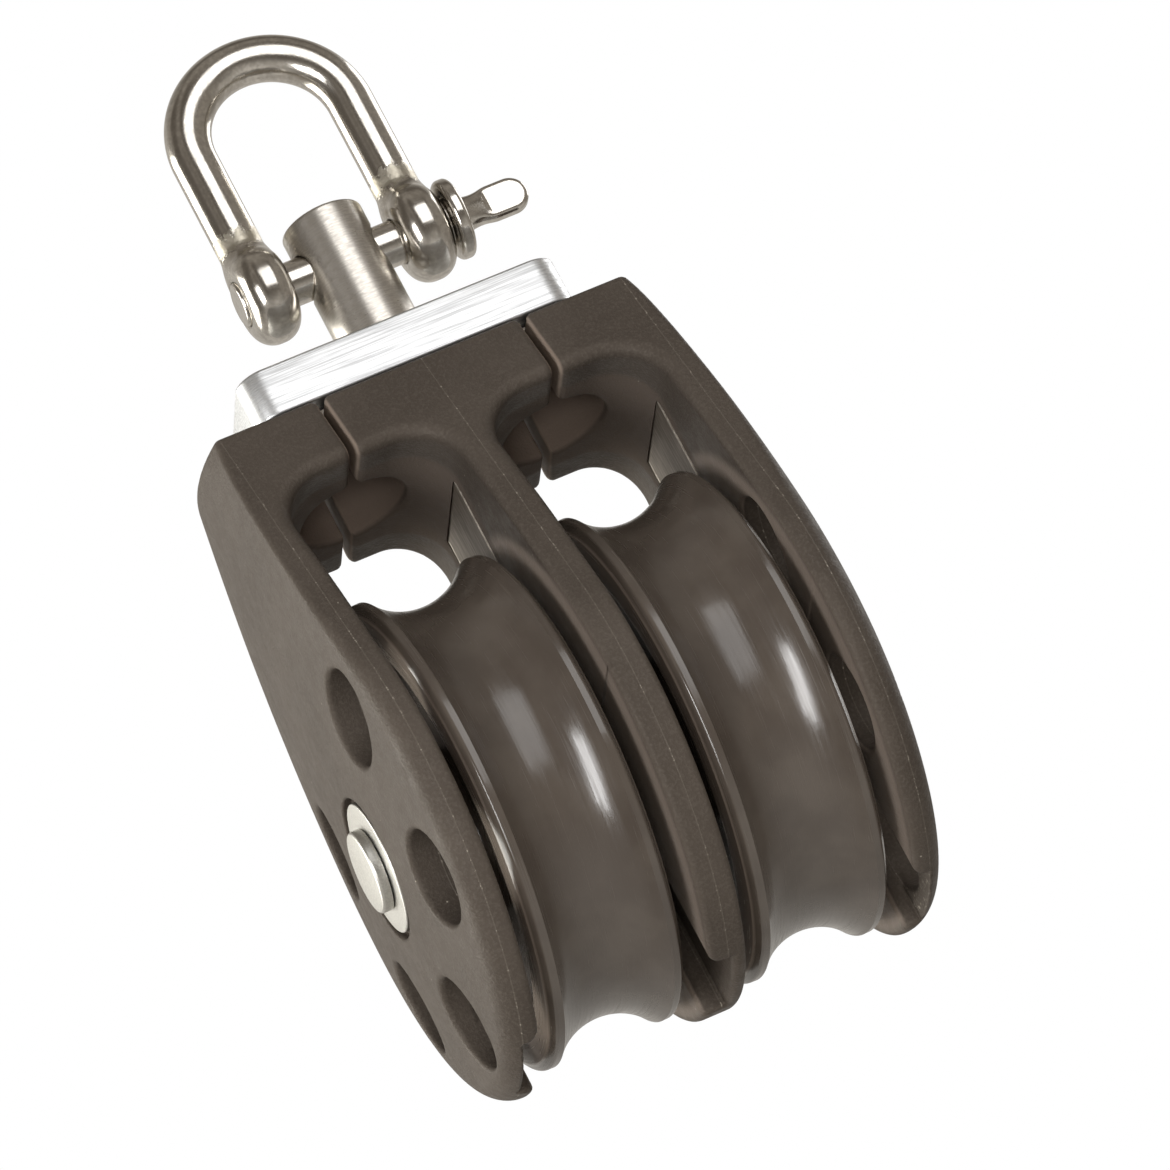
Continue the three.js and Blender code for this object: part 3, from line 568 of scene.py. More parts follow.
def strap_mesh():
    """A strip bent over the bay, its lower ends rounded about the axle."""
    t = STRAP_THICKNESS / 2
    left, right = BAY_INNER_WALL - t, BAY_OUTER_WALL + t
    top = STRAP_TOP - t
    end_steps, bend_steps, across = 14, 8, 8
    end_turns = np.arange(end_steps) / end_steps * math.pi / 2
    half_path = [(left, -STRAP_HALF_WIDTH * math.cos(turn)) for turn in end_turns]
    half_path += [(left, 0.0), (left, top - STRAP_BEND)]
    for k in range(1, bend_steps):
        turn = k / bend_steps * math.pi / 2
        half_path.append((left + STRAP_BEND * (1 - math.cos(turn)), top - STRAP_BEND * (1 - math.sin(turn))))
    half_path.append((left + STRAP_BEND, top))
    centre_line = np.array(half_path + [(left + right - x, z) for x, z in reversed(half_path)])
    tangent = np.gradient(centre_line, axis=0)
    tangent[: end_steps + 1] = (0, 1)
    tangent[-end_steps - 1 :] = (0, -1)
    tangent /= np.linalg.norm(tangent, axis=1)[:, None]
    tip = 0.02  # keeps the first and the last row from closing to a point
    points = []
    for (x, z), (tx, tz) in zip(centre_line, tangent):
        half = STRAP_HALF_WIDTH if z >= 0 else math.sqrt(max(STRAP_HALF_WIDTH**2 - z * z, tip))
        widths = [half * (2 * k / across - 1) for k in range(across + 1)]
        points += [(x - tz * t, y, z + tx * t) for y in widths]
        points += [(x + tz * t, y, z - tx * t) for y in reversed(widths)]
    count = 2 * (across + 1)
    faces = skin(len(centre_line), count)
    for start in (0, len(points) - count):
        for k in range(across):
            faces.append([start + k, start + k + 1, start + count - 2 - k, start + count - 1 - k])
    return np.array(points), faces


def bar_mesh():
    """A bar with rounded corners in plan and eased edges at the top and bottom."""

    def layer(inset, z):
        w, d, r = BAR_HALF_LENGTH - inset, BAR_HALF_DEPTH - inset, BAR_CORNER - inset
        corners = ((w - r, d - r), (r - w, d - r), (r - w, r - d), (w - r, r - d))
        out = []
        for quarter, (cx, cy) in enumerate(corners):
            for turn in (quarter + np.arange(13) / 12) * math.pi / 2:
                out.append((cx + r * math.cos(turn), cy + r * math.sin(turn), z))
        return out

    turns = np.arange(5) / 4 * math.pi / 2
    edge = [(BAR_EDGE * (1 - math.sin(t)), BAR_EDGE * (1 - math.cos(t))) for t in turns]
    layers = [layer(inset, BAR_BOTTOM + rise) for inset, rise in edge]
    layers += [layer(inset, BAR_TOP - drop) for inset, drop in reversed(edge)]
    count = len(layers[0])
    points = [p for one in layers for p in one]
    faces = skin(len(layers), count)
    faces.append(list(range(count))[::-1])
    faces.append(list(range(len(points) - count, len(points))))
    return np.array(points), faces


def drilled(made, solids):
    """Cuts solids, each (points, faces) in millimetres about the axle, out of an object."""
    for points, faces in solids:
        mesh = bpy.data.meshes.new("drill")
        mesh.from_pydata(in_frame(points), [], facing_out(points, faces))
        drill = bpy.data.objects.new("drill", mesh)
        bpy.context.scene.collection.objects.link(drill)
        cut = made.modifiers.new("drill", "BOOLEAN")
        cut.operation = "DIFFERENCE"
        cut.solver = "EXACT"
        cut.object = drill
        depsgraph = bpy.context.evaluated_depsgraph_get()
        result = bpy.data.meshes.new_from_object(made.evaluated_get(depsgraph))
        made.modifiers.clear()
        old = made.data
        made.data = result
        bpy.data.meshes.remove(old)
        bpy.data.objects.remove(drill)
        bpy.data.meshes.remove(mesh)
    made.data.shade_smooth()
    made.data.set_sharp_from_angle(angle=SHARP_ANGLE)


def cylinder_along(axis, start, stop, radius, facets, centre=(0, 0, 0)):
    """A cylinder along x or z, to cut with."""
    profile = [(start, 0), (start, radius), (stop, radius), (stop, 0)]
    return turned(profile, facets, axis, centre)


# ---------------------------------------------------------------- materials
def new_material(name):
    """A material with one Principled shader, its node tree and that shader."""
    made = bpy.data.materials.new(name)
    made.use_nodes = True
    tree = made.node_tree
    tree.nodes.clear()
    out = tree.nodes.new("ShaderNodeOutputMaterial")
    shader = tree.nodes.new("ShaderNodeBsdfPrincipled")
    tree.links.new(shader.outputs["BSDF"], out.inputs["Surface"])
    return made, tree, shader


def nodes_of(material):
    """A finished material's node tree and its shader, to build on."""
    tree = material.node_tree
    return Nodes(tree), next(node for node in tree.nodes if node.type == "BSDF_PRINCIPLED")


def source_of(socket):
    """What feeds a socket now."""
    return socket.links[0].from_socket


class Nodes:
    """A short way to write a node tree."""

    def __init__(self, tree):
        self.tree = tree

    def link(self, source, target):
        self.tree.links.new(source, target)

    def add(self, kind, **settings):
        node = self.tree.nodes.new(kind)
        for key, value in settings.items():
            setattr(node, key, value)
        return node

    def place_mm(self, stretch=(1, 1, 1)):
        """Object coordinates in millimetres, stretched by axis."""
        where = self.add("ShaderNodeTexCoord")
        scale = self.add("ShaderNodeMapping")
        scale.inputs["Scale"].default_value = [s / MM for s in stretch]
        self.link(where.outputs["Object"], scale.inputs["Vector"])
        return scale.outputs["Vector"]

    def noise(self, vector, scale, detail, rough):
        node = self.add("ShaderNodeTexNoise")
        node.inputs["Scale"].default_value = scale
        node.inputs["Detail"].default_value = detail
        node.inputs["Roughness"].default_value = rough
        self.link(vector, node.inputs["Vector"])
        return node.outputs["Fac"]

    def ramp(self, source, low_in, high_in, low_out, high_out):
        """A smooth step from low_out to high_out, as the source goes from low_in to high_in."""
        node = self.add("ShaderNodeMapRange", interpolation_type="SMOOTHSTEP")
        node.inputs["From Min"].default_value = low_in
        node.inputs["From Max"].default_value = high_in
        node.inputs["To Min"].default_value = low_out
        node.inputs["To Max"].default_value = high_out
        self.link(source, node.inputs["Value"])
        return node.outputs["Result"]

    def math(self, operation, one, two=None):
        """One step of arithmetic on numbers or sockets."""
        node = self.add("ShaderNodeMath", operation=operation)
        for socket, value in ((0, one), (1, two)):
            if value is None:
                continue
            if isinstance(value, (int, float)):
                node.inputs[socket].default_value = value
            else:
                self.link(value, node.inputs[socket])
        return node.outputs[0]

    def off(self, value, centre):
        """How far a value is from a centre, either way."""
        return self.math("ABSOLUTE", self.math("SUBTRACT", value, centre))

    def length(self, one, two):
        """The distance that two offsets at right angles make."""
        squares = [self.math("MULTIPLY", value, value) for value in (one, two)]
        return self.math("SQRT", self.math("ADD", *squares))

    def specks(self, where, scale, size):
        """Round specks in about one cell of seven, faded out at size cells from their middles."""
        cells = self.add("ShaderNodeTexVoronoi", feature="F1")
        cells.inputs["Scale"].default_value = scale
        self.link(where, cells.inputs["Vector"])
        dot = self.ramp(cells.outputs["Distance"], size / 2, size, 1, 0)
        chosen = self.ramp(self.split(cells.outputs["Color"])[0], 0.84, 0.86, 0, 1)
        return self.math("MULTIPLY", dot, chosen)

    def mix(self, factor, one, two):
        """From colour one to colour two as the factor goes from 0 to 1."""
        node = self.add("ShaderNodeMix", data_type="RGBA")
        for socket, value in (("Factor", factor), ("A", one), ("B", two)):
            kind = "VALUE" if socket == "Factor" else "RGBA"
            slot = next(s for s in node.inputs if s.name == socket and s.type == kind)
            if isinstance(value, (int, float, tuple)):
                slot.default_value = value
            else:
                self.link(value, slot)
        return next(s for s in node.outputs if s.type == "RGBA")

    def split(self, vector):
        node = self.add("ShaderNodeSeparateXYZ")
        self.link(vector, node.inputs[0])
        return node.outputs

    def join(self, x, y, z):
        node = self.add("ShaderNodeCombineXYZ")
        for socket, value in zip(node.inputs, (x, y, z)):
            if isinstance(value, (int, float)):
                socket.default_value = value
            else:
                self.link(value, socket)
        return node.outputs[0]

    def bump(self, height, strength, distance_mm, after=None):
        """A normal bent by a height, on top of another normal if one is given."""
        node = self.add("ShaderNodeBump")
        node.inputs["Strength"].default_value = strength
        node.inputs["Distance"].default_value = distance_mm * MM
        self.link(height, node.inputs["Height"])
        if after is not None:
            self.link(after, node.inputs["Normal"])
        return node.outputs["Normal"]


PAINTED_GAP_LIGHT = (0.200, 0.165, 0.138, 1)  # painted light: a paler base that lifts the shaded gaps between the sheave flanges and the cheeks


def moulding_material():
    """Fine-grained dark moulding with a little mottling, sparse pale specks, flash lines, and painted light
    in the shaded gaps, wells, slits and bay roofs.
    """
    made, tree, shader = new_material("moulding")
    n = Nodes(tree)
    where = n.place_mm()
    x, y, z = n.split(where)
    across = n.math("ABSOLUTE", x)
    up = n.math("SUBTRACT", z, AXLE_Z)
    from_axle = n.length(y, up)
    off_centre = n.off(across, BAY_CENTRE)
    shader.inputs["IOR"].default_value = 1.45
    shader.inputs["Specular Tint"].default_value = (1.0, 0.90, 0.80, 1)
    cloud = n.ramp(n.noise(where, 0.07, 3, 0.6), 0.35, 0.65, 0, 1)
    grain = n.noise(where, 2.6, 2, 0.6)
    base = n.mix(cloud, (0.060, 0.0492, 0.0405, 1), (0.070, 0.0578, 0.0478, 1))
    mottle = n.ramp(grain, 0.42, 0.72, 0, 1)
    base = n.mix(n.math("MULTIPLY", mottle, 0.45), base, (0.105, 0.090, 0.076, 1))
    # painted light: the cheek walls beside the sheaves, in the shaded gaps by the flanges, are painted paler
    beside = n.ramp(n.off(off_centre, BAY_OUTER_WALL - BAY_CENTRE), 0.2, 0.5, 1, 0)
    gap_light = n.math("MULTIPLY", beside, n.ramp(from_axle, SHEAVE_RADIUS, SHEAVE_RADIUS + 2, 1, 0))
    base = n.mix(gap_light, base, PAINTED_GAP_LIGHT)
    # painted light: the slits and the wells, which lie in shade, are painted paler
    from_screw = n.length(off_centre, y)
    in_well = n.ramp(from_screw, WELL_RADIUS + 0.1, WELL_RADIUS + 0.5, 1, 0)
    in_well = n.math("MULTIPLY", in_well, n.ramp(up, CEILING - 0.3, CEILING + 0.7, 0, 1))
    in_slit = n.ramp(off_centre, SLIT_HALF + 0.05, SLIT_HALF + 0.4, 1, 0)
    in_slit = n.math("MULTIPLY", in_slit, n.ramp(up, CEILING - 4.5, CEILING - 2.5, 0, 1))
    base = n.mix(in_well, base, (0.200, 0.157, 0.129, 1))
    base = n.mix(in_slit, base, (0.260, 0.208, 0.170, 1))
    # inside a bay, from the top of the sheave up to the roof, the specular level is turned down
    depth = n.ramp(n.math("ABSOLUTE", y), 10.0, 11.5, 1, 0)
    in_bay = n.math("MULTIPLY", depth, n.ramp(off_centre, 11.6, 11.9, 1, 0))
    in_bay = n.math("MULTIPLY", in_bay, n.ramp(up, 18, 26, 0, 1))
    shine, dull_shine = 0.17, 0.02
    shader.inputs["Specular IOR Level"].default_value = shine
    n.link(n.ramp(in_bay, 0, 1, shine, dull_shine), shader.inputs["Specular IOR Level"])
    # painted light: the roof of the bay, away from the wells and the slit, is painted paler to lift its
    # shade
    roof = n.math("MULTIPLY", in_bay, n.math("SUBTRACT", 1, n.math("MAXIMUM", in_well, in_slit)))
    roof = n.math("MULTIPLY", roof, n.ramp(up, 26, 34, 0, 1))
    base = n.mix(roof, base, (0.108, 0.087, 0.072, 1))
    # flash is left where the two halves of each mould met
    centre_line = n.ramp(across, 0.04, 0.12, 1, 0)
    side_line = n.ramp(n.off(across, SIDE_FLASH), 0.04, 0.12, 1, 0)
    line = n.math("MAXIMUM", centre_line, side_line)
    broken = n.ramp(n.noise(where, 1.7, 3, 0.7), 0.56, 0.66, 0, 1)
    flash = n.math("MULTIPLY", line, n.math("MAXIMUM", broken, 0.12))
    # and pale dust was moulded in
    dust = n.specks(where, 0.42, 0.06)
    pale = n.math("MAXIMUM", n.math("MULTIPLY", dust, 0.75), n.math("MULTIPLY", flash, 0.6))
    n.link(n.mix(pale, base, (0.42, 0.38, 0.32, 1)), shader.inputs["Base Color"])
    n.link(n.ramp(n.noise(where, 0.5, 3, 0.6), 0.3, 0.7, 0.42, 0.54), shader.inputs["Roughness"])
    fine = n.bump(grain, 0.8, 0.12)
    broad = n.bump(n.noise(where, 0.25, 1, 0.5), 0.2, 0.08, fine)
    n.link(n.bump(line, 0.5, 0.06, broad), shader.inputs["Normal"])
    return made


def sheave_material():
    """Smooth semi-gloss moulding, faintly streaked round the groove by the line."""
    made, tree, shader = new_material("sheave")
    n = Nodes(tree)
    where = n.place_mm()
    x, y, z = n.split(where)
    up = n.math("SUBTRACT", z, AXLE_Z)
    angle = n.math("ARCTAN2", y, up)
    stretched = [n.math("MULTIPLY", v, by) for v, by in ((x, 3.2), (angle, 2.4), (n.length(y, up), 3.2))]
    streak = n.noise(n.join(*stretched), 1.0, 4, 0.62)
    shader.inputs["IOR"].default_value = 1.6
    cloud = n.ramp(n.noise(where, 0.12, 3, 0.55), 0.35, 0.65, 0, 1)
    base = n.mix(cloud, (0.064, 0.0515, 0.042, 1), (0.080, 0.0655, 0.0535, 1))
    # painted light: the outer sides of the flanges, in the shaded gaps by the cheeks, are painted paler
    off_centre = n.off(n.math("ABSOLUTE", x), BAY_CENTRE)
    side = n.ramp(off_centre, FLANGE_HALF_WIDTH - 0.3, FLANGE_HALF_WIDTH - 0.05, 0, 1)
    base = n.mix(side, base, PAINTED_GAP_LIGHT)
    scuff = n.ramp(streak, 0.62, 0.76, 0, 1)
    base = n.mix(n.math("MULTIPLY", scuff, 0.16), base, (0.14, 0.118, 0.098, 1))
    dust = n.math("MULTIPLY", n.specks(where, 0.3, 0.05), 0.5)
    n.link(n.mix(dust, base, (0.4, 0.37, 0.33, 1)), shader.inputs["Base Color"])
    n.link(n.ramp(streak, 0.3, 0.75, 0.13, 0.30), shader.inputs["Roughness"])
    fine = n.bump(streak, 0.34, 0.03)
    n.link(n.bump(n.noise(where, 0.35, 2, 0.5), 0.10, 0.20, fine), shader.inputs["Normal"])
    return made


def bearing_material():
    """Dull black plastic."""
    made, tree, shader = new_material("bearing")
    n = Nodes(tree)
    where = n.place_mm()
    grain = n.noise(where, 2.4, 3, 0.6)
    black, grey = (0.030, 0.029, 0.028, 1), (0.045, 0.043, 0.041, 1)
    n.link(n.mix(grain, black, grey), shader.inputs["Base Color"])
    n.link(n.ramp(grain, 0.3, 0.7, 0.35, 0.5), shader.inputs["Roughness"])
    n.link(n.bump(grain, 0.3, 0.03), shader.inputs["Normal"])
    return made


def metal_material(
    name, dark, light, rough, grain_scale, grain_depth, wave_depth, stretch=(1, 1, 1), metallic=1.0
):
    """Steel or aluminium with a grain drawn out along the axes where stretch is small. Depths are in mm."""
    made, tree, shader = new_material(name)
    n = Nodes(tree)
    shader.inputs["Metallic"].default_value = metallic
    grain = n.noise(n.place_mm(stretch), grain_scale, 5, 0.65)
    scratch = n.ramp(grain, 0.36, 0.66, 0, 1)
    n.link(n.mix(scratch, (*dark, 1), (*light, 1)), shader.inputs["Base Color"])
    n.link(n.ramp(grain, 0.3, 0.7, max(rough), min(rough)), shader.inputs["Roughness"])
    fine = n.bump(grain, 0.5, grain_depth)
    wave = n.noise(n.place_mm(), 0.28, 2, 0.5)
    n.link(n.bump(wave, 0.5, wave_depth, fine), shader.inputs["Normal"])
    return made


def polished_steel(name, dark, light):
    rough = (0.13, 0.22)
    return metal_material(name, dark, light, rough, grain_scale=1.1, grain_depth=0.005, wave_depth=0.05)


def strap_material():
    """Dull brownish steel with a painted highlight along the two long edges of the strip, and paler under
    the roof.
    """
    made = metal_material(
        "strap_steel",
        dark=(0.130, 0.106, 0.084),
        light=(0.185, 0.155, 0.125),
        rough=(0.42, 0.56),
        grain_scale=2.2,
        grain_depth=0.008,
        wave_depth=0.02,
        stretch=(1, 1, 0.12),
        metallic=0.5,
    )
    n, shader = nodes_of(made)
    colour = shader.inputs["Base Color"]
    where = n.place_mm()
    _, y, z = n.split(where)
    # painted highlight: the two long edges of the strip are painted pale where they catch the light
    edge = n.ramp(n.math("ABSOLUTE", y), STRAP_HALF_WIDTH - 0.55, STRAP_HALF_WIDTH - 0.25, 0, 1)
    edge_highlight = n.math("MULTIPLY", edge, n.ramp(n.noise(where, 0.9, 3, 0.6), 0.35, 0.6, 0.45, 1))
    under_roof = n.ramp(z, AXLE_Z + CEILING - 0.5, AXLE_Z + CEILING + 1.5, 0, 1)
    dull = n.mix(under_roof, source_of(colour), (0.230, 0.184, 0.150, 1))
    n.link(n.mix(edge_highlight, dull, (0.72, 0.66, 0.57, 1)), colour)
    return made


def shackle_material():
    """Polished steel with a duller, yellower ring round each leg just above its ear."""
    made = polished_steel("shackle_steel", dark=(0.52, 0.49, 0.445), light=(0.66, 0.63, 0.58))
    n, shader = nodes_of(made)
    colour, rough, normal = (shader.inputs[name] for name in ("Base Color", "Roughness", "Normal"))
    where = n.place_mm()
    height = n.math("SUBTRACT", n.split(where)[2], AXLE_Z + PIN_HEIGHT + EAR_RADIUS + 0.9)
    wander = n.ramp(n.noise(where, 0.8, 3, 0.7), 0.2, 0.8, -1.0, 1.0)
    ring = n.ramp(n.math("ABSOLUTE", n.math("ADD", height, wander)), 0.5, 1.6, 1, 0)
    n.link(n.mix(n.math("MULTIPLY", ring, 0.7), source_of(colour), (0.46, 0.42, 0.33, 1)), colour)
    n.link(n.math("ADD", source_of(rough), n.math("MULTIPLY", ring, 0.22)), rough)
    pits = n.math("MULTIPLY", n.noise(where, 2.2, 3, 0.6), ring)
    n.link(n.bump(pits, 0.5, 0.12, source_of(normal)), normal)
    return made


MOULDING = moulding_material()
SHEAVE = sheave_material()
BEARING = bearing_material()
STRAP_STEEL = strap_material()
SHACKLE_STEEL = shackle_material()
POLISHED = polished_steel("polished_steel", dark=(0.56, 0.53, 0.485), light=(0.68, 0.65, 0.60))
BAR = metal_material(
    "bar_aluminium",
    dark=(0.56, 0.57, 0.58),
    light=(0.80, 0.81, 0.82),
    rough=(0.34, 0.50),
    grain_scale=1.6,
    grain_depth=0.012,
    wave_depth=0.01,
    stretch=(0.05, 1.2, 3.0),
)
POST_STEEL = metal_material(
    "post_steel",
    dark=(0.50, 0.47, 0.43),
    light=(0.64, 0.61, 0.56),
    rough=(0.27, 0.38),
    grain_scale=3.0,
    grain_depth=0.006,
    wave_depth=0.015,
    stretch=(0.25, 0.25, 1.6),
)
AXLE_STEEL = metal_material(
    "axle_steel",
    dark=(0.54, 0.53, 0.50),
    light=(0.66, 0.65, 0.61),
    rough=(0.34, 0.46),
    grain_scale=4.0,
    grain_depth=0.012,
    wave_depth=0.02,
)

# ---------------------------------------------------------------- pieces: the cheeks
CHEEK_CELL = 0.42
FITTING_CELL = 0.26
PIN_CELL = FITTING_CELL * 0.8

# boxes that hold each surface with a little to spare, by their low and high corners
OUTER_CHEEK_BOX = ((13.6, -33.2, -33.4), (32.6, 33.2, 56))
CENTRE_CHEEK_BOX = ((-14, -33.2, -33.4), (14, 33.2, 56))
POST_BOX = ((-5.9, -5.9, 55.2), (5.9, 5.9, 83))
BOW_BOX = ((-14.4, -6.9, 69.3), (14.4, 6.9, 110.7))
PIN_BOX = ((-14.8, -5.7, 70.4), (26.1, 5.7, 82))

right_cheek = surface_of(outer_cheek, *OUTER_CHEEK_BOX, CHEEK_CELL)
for node, (points, faces, normals) in (
    ("cheek_outer_right", right_cheek),
    ("cheek_outer_left", mirrored(*right_cheek)),
    ("cheek_centre", surface_of(centre_cheek, *CENTRE_CHEEK_BOX, CHEEK_CELL)),
):
    place(node, points, faces, "block", MOULDING, normals)


# ---------------------------------------------------------------- pieces: in each bay and along the axle
def place_turned(node, profile, facets, material, centre=(0, 0, 0), body="block"):
    """A piece of revolution about the axle's line."""
    points, faces = turned(profile, facets, "x", centre)
    return place(node, points, facing_out(points, faces), body, material)


def ring(start, stop, inner, outer, eases):
    """The section of a ring. eases are for the bore's edges and the outer edges at start and stop."""
    bore, first, last = eases
    return eased([(start, inner, bore), (start, outer, first), (stop, outer, last), (stop, inner, bore)])


def place_strap(node, sign):
    """A load strap with its axle holes and screw hole, and its edges eased."""
    past_walls, past_top = 40, 5
    points, faces = strap_mesh()
    points = points * np.array((sign, 1, 1))
    strap = place(node, points, facing_out(points, faces), "block", STRAP_STEEL)
    axle_holes = cylinder_along("x", -past_walls, past_walls, AXLE_HOLE_RADIUS, 48)
    low, high = STRAP_TOP - past_top, STRAP_TOP + past_top
    screw_hole = cylinder_along("z", low, high, STRAP_SCREW_HOLE_RADIUS, 32, (sign * BAY_CENTRE, 0, 0))
    drilled(strap, [axle_holes, screw_hole])
    edge = strap.modifiers.new("eased_edges", "BEVEL")
    edge.width = 0.18 * MM
    edge.segments = 2
    edge.limit_method = "ANGLE"
    edge.angle_limit = math.radians(50)


for side, sign in (("right", 1), ("left", -1)):
    middle = (sign * BAY_CENTRE, 0, 0)
    place_turned(f"sheave_{side}", sheave_profile(), 240, SHEAVE, middle, f"{side}_sheave")
    place_strap(f"load_strap_{side}", sign)

    ends = (sign * SLEEVE_INNER_END, sign * SLEEVE_OUTER_END)
    sleeve = ring(*ends, SLEEVE_BORE_RADIUS, SLEEVE_RADIUS, eases=(0.2, 0.2, 0.2))
    place_turned(f"sheave_sleeve_{side}", sleeve, 72, BEARING)

    for where in ("inner", "outer"):
        node = f"thrust_washer_{where}_{side}"
        low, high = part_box(node)
        ends = (low.x / MM, high.x / MM)
        washer = ring(*ends, THRUST_BORE_RADIUS, THRUST_RADIUS, eases=(0.15, 0.2, 0.2))
        place_turned(node, washer, 72, BEARING)

    ends = (sign * AXLE_WASHER_INNER_FACE, sign * (AXLE_WASHER_INNER_FACE + AXLE_WASHER_THICKNESS))
    washer = ring(*ends, WASHER_BORE_RADIUS, AXLE_WASHER_RADIUS, eases=(0.1, 0.15, 0.22))
    place_turned(f"axle_washer_{side}", washer, 96, AXLE_STEEL)

axle = eased(
    [
        (-AXLE_HEAD_OUTER_FACE, 0, 0),
        (-AXLE_HEAD_OUTER_FACE, AXLE_HEAD_RADIUS, 0.4),
        (-AXLE_HEAD_INNER_FACE, AXLE_HEAD_RADIUS, 0.12),
        (-AXLE_HEAD_INNER_FACE, AXLE_RADIUS, 0.1),
        (AXLE_END, AXLE_RADIUS, 0.2),
        (AXLE_END, CAP_BORE_RADIUS, 0),
        (CAP_BORE_END, CAP_BORE_RADIUS, 0),
        (CAP_BORE_END, 0, 0),
    ]
)
place_turned("axle_pin", axle, 96, AXLE_STEEL)

cap_profile = eased(
    [
        (CAP_STEM_END, 0, 0),
        (CAP_STEM_END, CAP_STEM_RADIUS, 0.2),
        (AXLE_HEAD_INNER_FACE, CAP_STEM_RADIUS, 0),
        (AXLE_HEAD_INNER_FACE, AXLE_HEAD_RADIUS, 0.12),
        (AXLE_HEAD_OUTER_FACE, AXLE_HEAD_RADIUS, 0.4),
        (AXLE_HEAD_OUTER_FACE, 0, 0),
    ]
)
cap = place_turned("axle_cap", cap_profile, 96, AXLE_STEEL)
past_rim = AXLE_HEAD_RADIUS + 1.7
slot_points = [
    (x, y, z)
    for x in (CAP_SLOT_FLOOR, AXLE_HEAD_OUTER_FACE + 0.9)
    for y in (-past_rim, past_rim)
    for z in (-CAP_SLOT_HALF_WIDTH, CAP_SLOT_HALF_WIDTH)
]
slot_faces = [[0, 1, 3, 2], [4, 6, 7, 5], [0, 4, 5, 1], [2, 3, 7, 6], [0, 2, 6, 4], [1, 5, 7, 3]]
drilled(cap, [(slot_points, slot_faces)])

# ---------------------------------------------------------------- pieces: bar, post, shackle and pin
points, faces = bar_mesh()
bar = place("crosshead_bar", points, faces, "block", BAR)
below, above = BAR_BOTTOM - 5, BAR_TOP + 5
bar_holes = [
    cylinder_along("z", below, above, SHANK_HOLE_RADIUS, 64),
    cylinder_along("z", below, NUT_WELL_TOP, NUT_WELL_RADIUS, 64),
]
for x in (BAY_CENTRE, -BAY_CENTRE):
    bar_holes.append(cylinder_along("z", below, BAR_SCREW_HOLE_TOP, BAR_SCREW_HOLE_RADIUS, 32, (x, 0, 0)))
drilled(bar, bar_holes)


def place_fitting(node, field, box, cell, body, material):
    """A piece whose surface is worked out inside a box."""
    points, faces, normals = surface_of(field, *box, cell)
    place(node, points, faces, body, material, normals)


place_fitting("swivel_post", swivel_post, POST_BOX, FITTING_CELL, "post", POST_STEEL)
place_fitting("shackle_bow", shackle_bow, BOW_BOX, FITTING_CELL, "shackle", SHACKLE_STEEL)
place_fitting("shackle_pin", shackle_pin, PIN_BOX, PIN_CELL, "pin", POLISHED)

# hidden pieces keep the frame's own shape
for node, material, slot in (
    ("strap_screw_left", POLISHED, "polished_steel"),
    ("strap_screw_right", POLISHED, "polished_steel"),
    ("swivel_nut", STRAP_STEEL, "strap_steel"),
    ("swivel_washer", BEARING, "bearing"),
):
    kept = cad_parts[node]
    kept.data.materials.clear()
    kept.data.materials.append(material)

# ---------------------------------------------------------------- floor, light and camera
scene = bpy.context.scene
scene.view_settings.view_transform = "Standard"
scene.view_settings.look = "None"

floor_mesh = bpy.data.meshes.new("floor")
reach, depth = 12.0, -1.7
corners = [(-reach, -reach, depth), (reach, -reach, depth), (reach, reach, depth), (-reach, reach, depth)]
floor_mesh.from_pydata(corners, [], [[0, 1, 2, 3]])
floor = bpy.data.objects.new("floor", floor_mesh)
scene.collection.objects.link(floor)
floor_material, floor_tree, floor_shader = new_material("floor")
n = Nodes(floor_tree)
cloud = n.noise(n.place_mm(), 0.004, 2, 0.5)
n.link(n.mix(cloud, (0.90, 0.90, 0.89, 1), (0.94, 0.94, 0.93, 1)), floor_shader.inputs["Base Color"])
floor_shader.inputs["Roughness"].default_value = 0.8
floor_shader.inputs["Emission Color"].default_value = (0.9, 0.9, 0.89, 1)
floor_shader.inputs["Emission Strength"].default_value = 0.65
floor_mesh.materials.append(floor_material)
floor.visible_glossy = False
floor.visible_diffuse = False
floor.visible_shadow = False

# White is seen behind the object. What lights it and shows in its gloss is a studio: a pale backdrop
# behind, a pale floor below, and a dim room in front.
world = bpy.data.worlds.new("studio")
scene.world = world
world.use_nodes = True
tree = world.node_tree
tree.nodes.clear()
w = Nodes(tree)
out = w.add("ShaderNodeOutputWorld")
direction = w.split(w.add("ShaderNodeTexCoord").outputs["Generated"])
behind = w.ramp(direction[1], 0.05, 0.95, 0, 0.55)
below = w.ramp(direction[2], -1.0, -0.30, 0.62, 0)
bands = w.ramp(w.noise(w.join(direction[0], direction[1], 0.0), 1.6, 1, 0.5), 0.38, 0.62, 0, 1)
dim = w.mix(bands, (0.13, 0.113, 0.095, 1), (0.30, 0.272, 0.238, 1))
studio = w.mix(w.math("MAXIMUM", behind, below), dim, (0.86, 0.83, 0.775, 1))
room = w.add("ShaderNodeBackground")
w.link(studio, room.inputs["Color"])
seen = w.add("ShaderNodeBackground")
seen.inputs["Color"].default_value = (1, 1, 1, 1)
path = w.add("ShaderNodeLightPath")
choose = w.add("ShaderNodeMixShader")
w.link(path.outputs["Is Camera Ray"], choose.inputs[0])
w.link(room.outputs[0], choose.inputs[1])
w.link(seen.outputs[0], choose.inputs[2])
w.link(choose.outputs[0], out.inputs["Surface"])

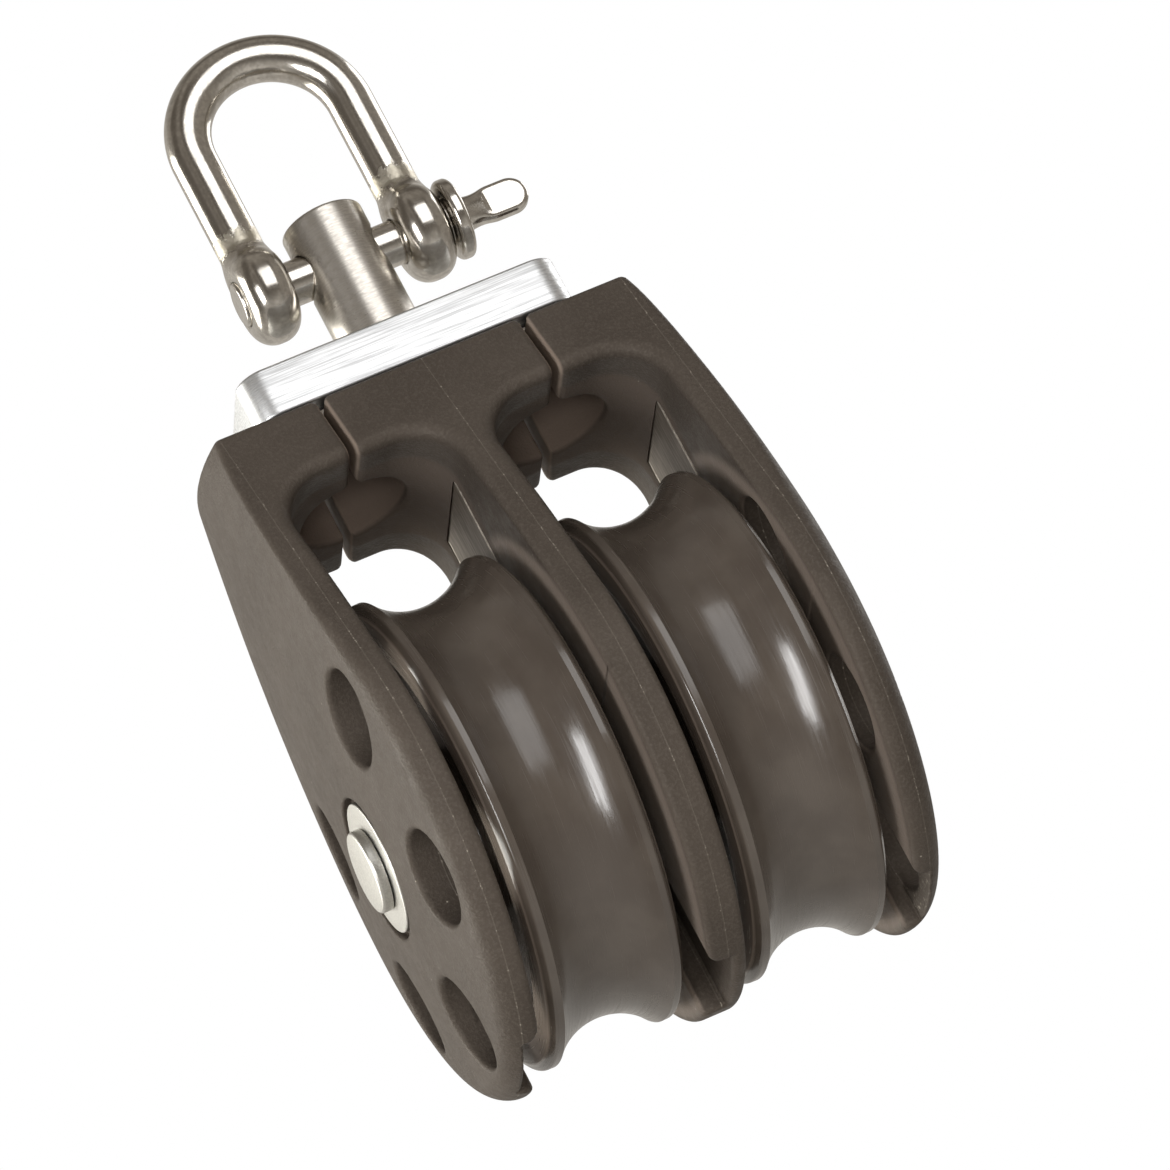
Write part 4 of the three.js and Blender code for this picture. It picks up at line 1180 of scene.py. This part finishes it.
MIDDLE = Vector((0, 0, AXLE_Z * MM + 0.02))
WHITE = (1.0, 1.0, 1.0)
CREAM = (1.0, 0.99, 0.93)
WARM = (1.0, 0.97, 0.93)


def softbox(name, azimuth, elevation, distance, size, radiance, colour=WHITE):
    """A rectangular light that faces the object. Azimuth 0 is in front of it, 90 to its right."""
    a, e = math.radians(azimuth), math.radians(elevation)
    towards = Vector((math.sin(a) * math.cos(e), -math.cos(a) * math.cos(e), math.sin(e)))
    data = bpy.data.lights.new(name, "AREA")
    data.shape = "RECTANGLE"
    data.size, data.size_y = size
    data.energy = radiance * math.pi * data.size * data.size_y
    data.color = colour
    lamp = bpy.data.objects.new(name, data)
    scene.collection.objects.link(lamp)
    lamp.location = MIDDLE + towards * distance
    lamp.rotation_mode = "QUATERNION"
    lamp.rotation_quaternion = towards.to_track_quat("Z", "Y")
    lamp.visible_camera = False
    return lamp


softbox("front_right", azimuth=14, elevation=16, distance=1.6, size=(1.1, 1.25), radiance=2.3)
softbox("front_left", azimuth=-50, elevation=-12, distance=1.5, size=(0.45, 0.85), radiance=12.0)
softbox("side", azimuth=-116, elevation=12, distance=1.5, size=(1.0, 1.2), radiance=6.2, colour=CREAM)
softbox("right", azimuth=112, elevation=22, distance=1.5, size=(0.9, 0.9), radiance=2.4)
low_fill = softbox("fill", -14.7, -21.4, distance=1.3, size=(0.4, 0.4), radiance=8.6, colour=WARM)
low_fill.visible_glossy = False

# The camera's own axes, and its place in millimetres about the axle.
camera_data = bpy.data.cameras.new("camera")
camera = bpy.data.objects.new("camera", camera_data)
scene.collection.objects.link(camera)
scene.camera = camera
camera_data.sensor_width = 36
camera_data.lens = 273.06
camera_data.clip_start = 0.05
camera_data.clip_end = 60
right = Vector((0.89723566, -0.05788777, -0.43774099))
down = Vector((-0.37333897, 0.42988625, -0.82208018))
forward = Vector((0.23576722, 0.90102543, 0.36409752))
turn = Matrix((right, -down, -forward)).transposed().to_4x4()
stand = Vector((-249.0647, -983.0848, -373.5336 + AXLE_Z)) * MM
camera.matrix_world = Matrix.Translation(stand) @ turn
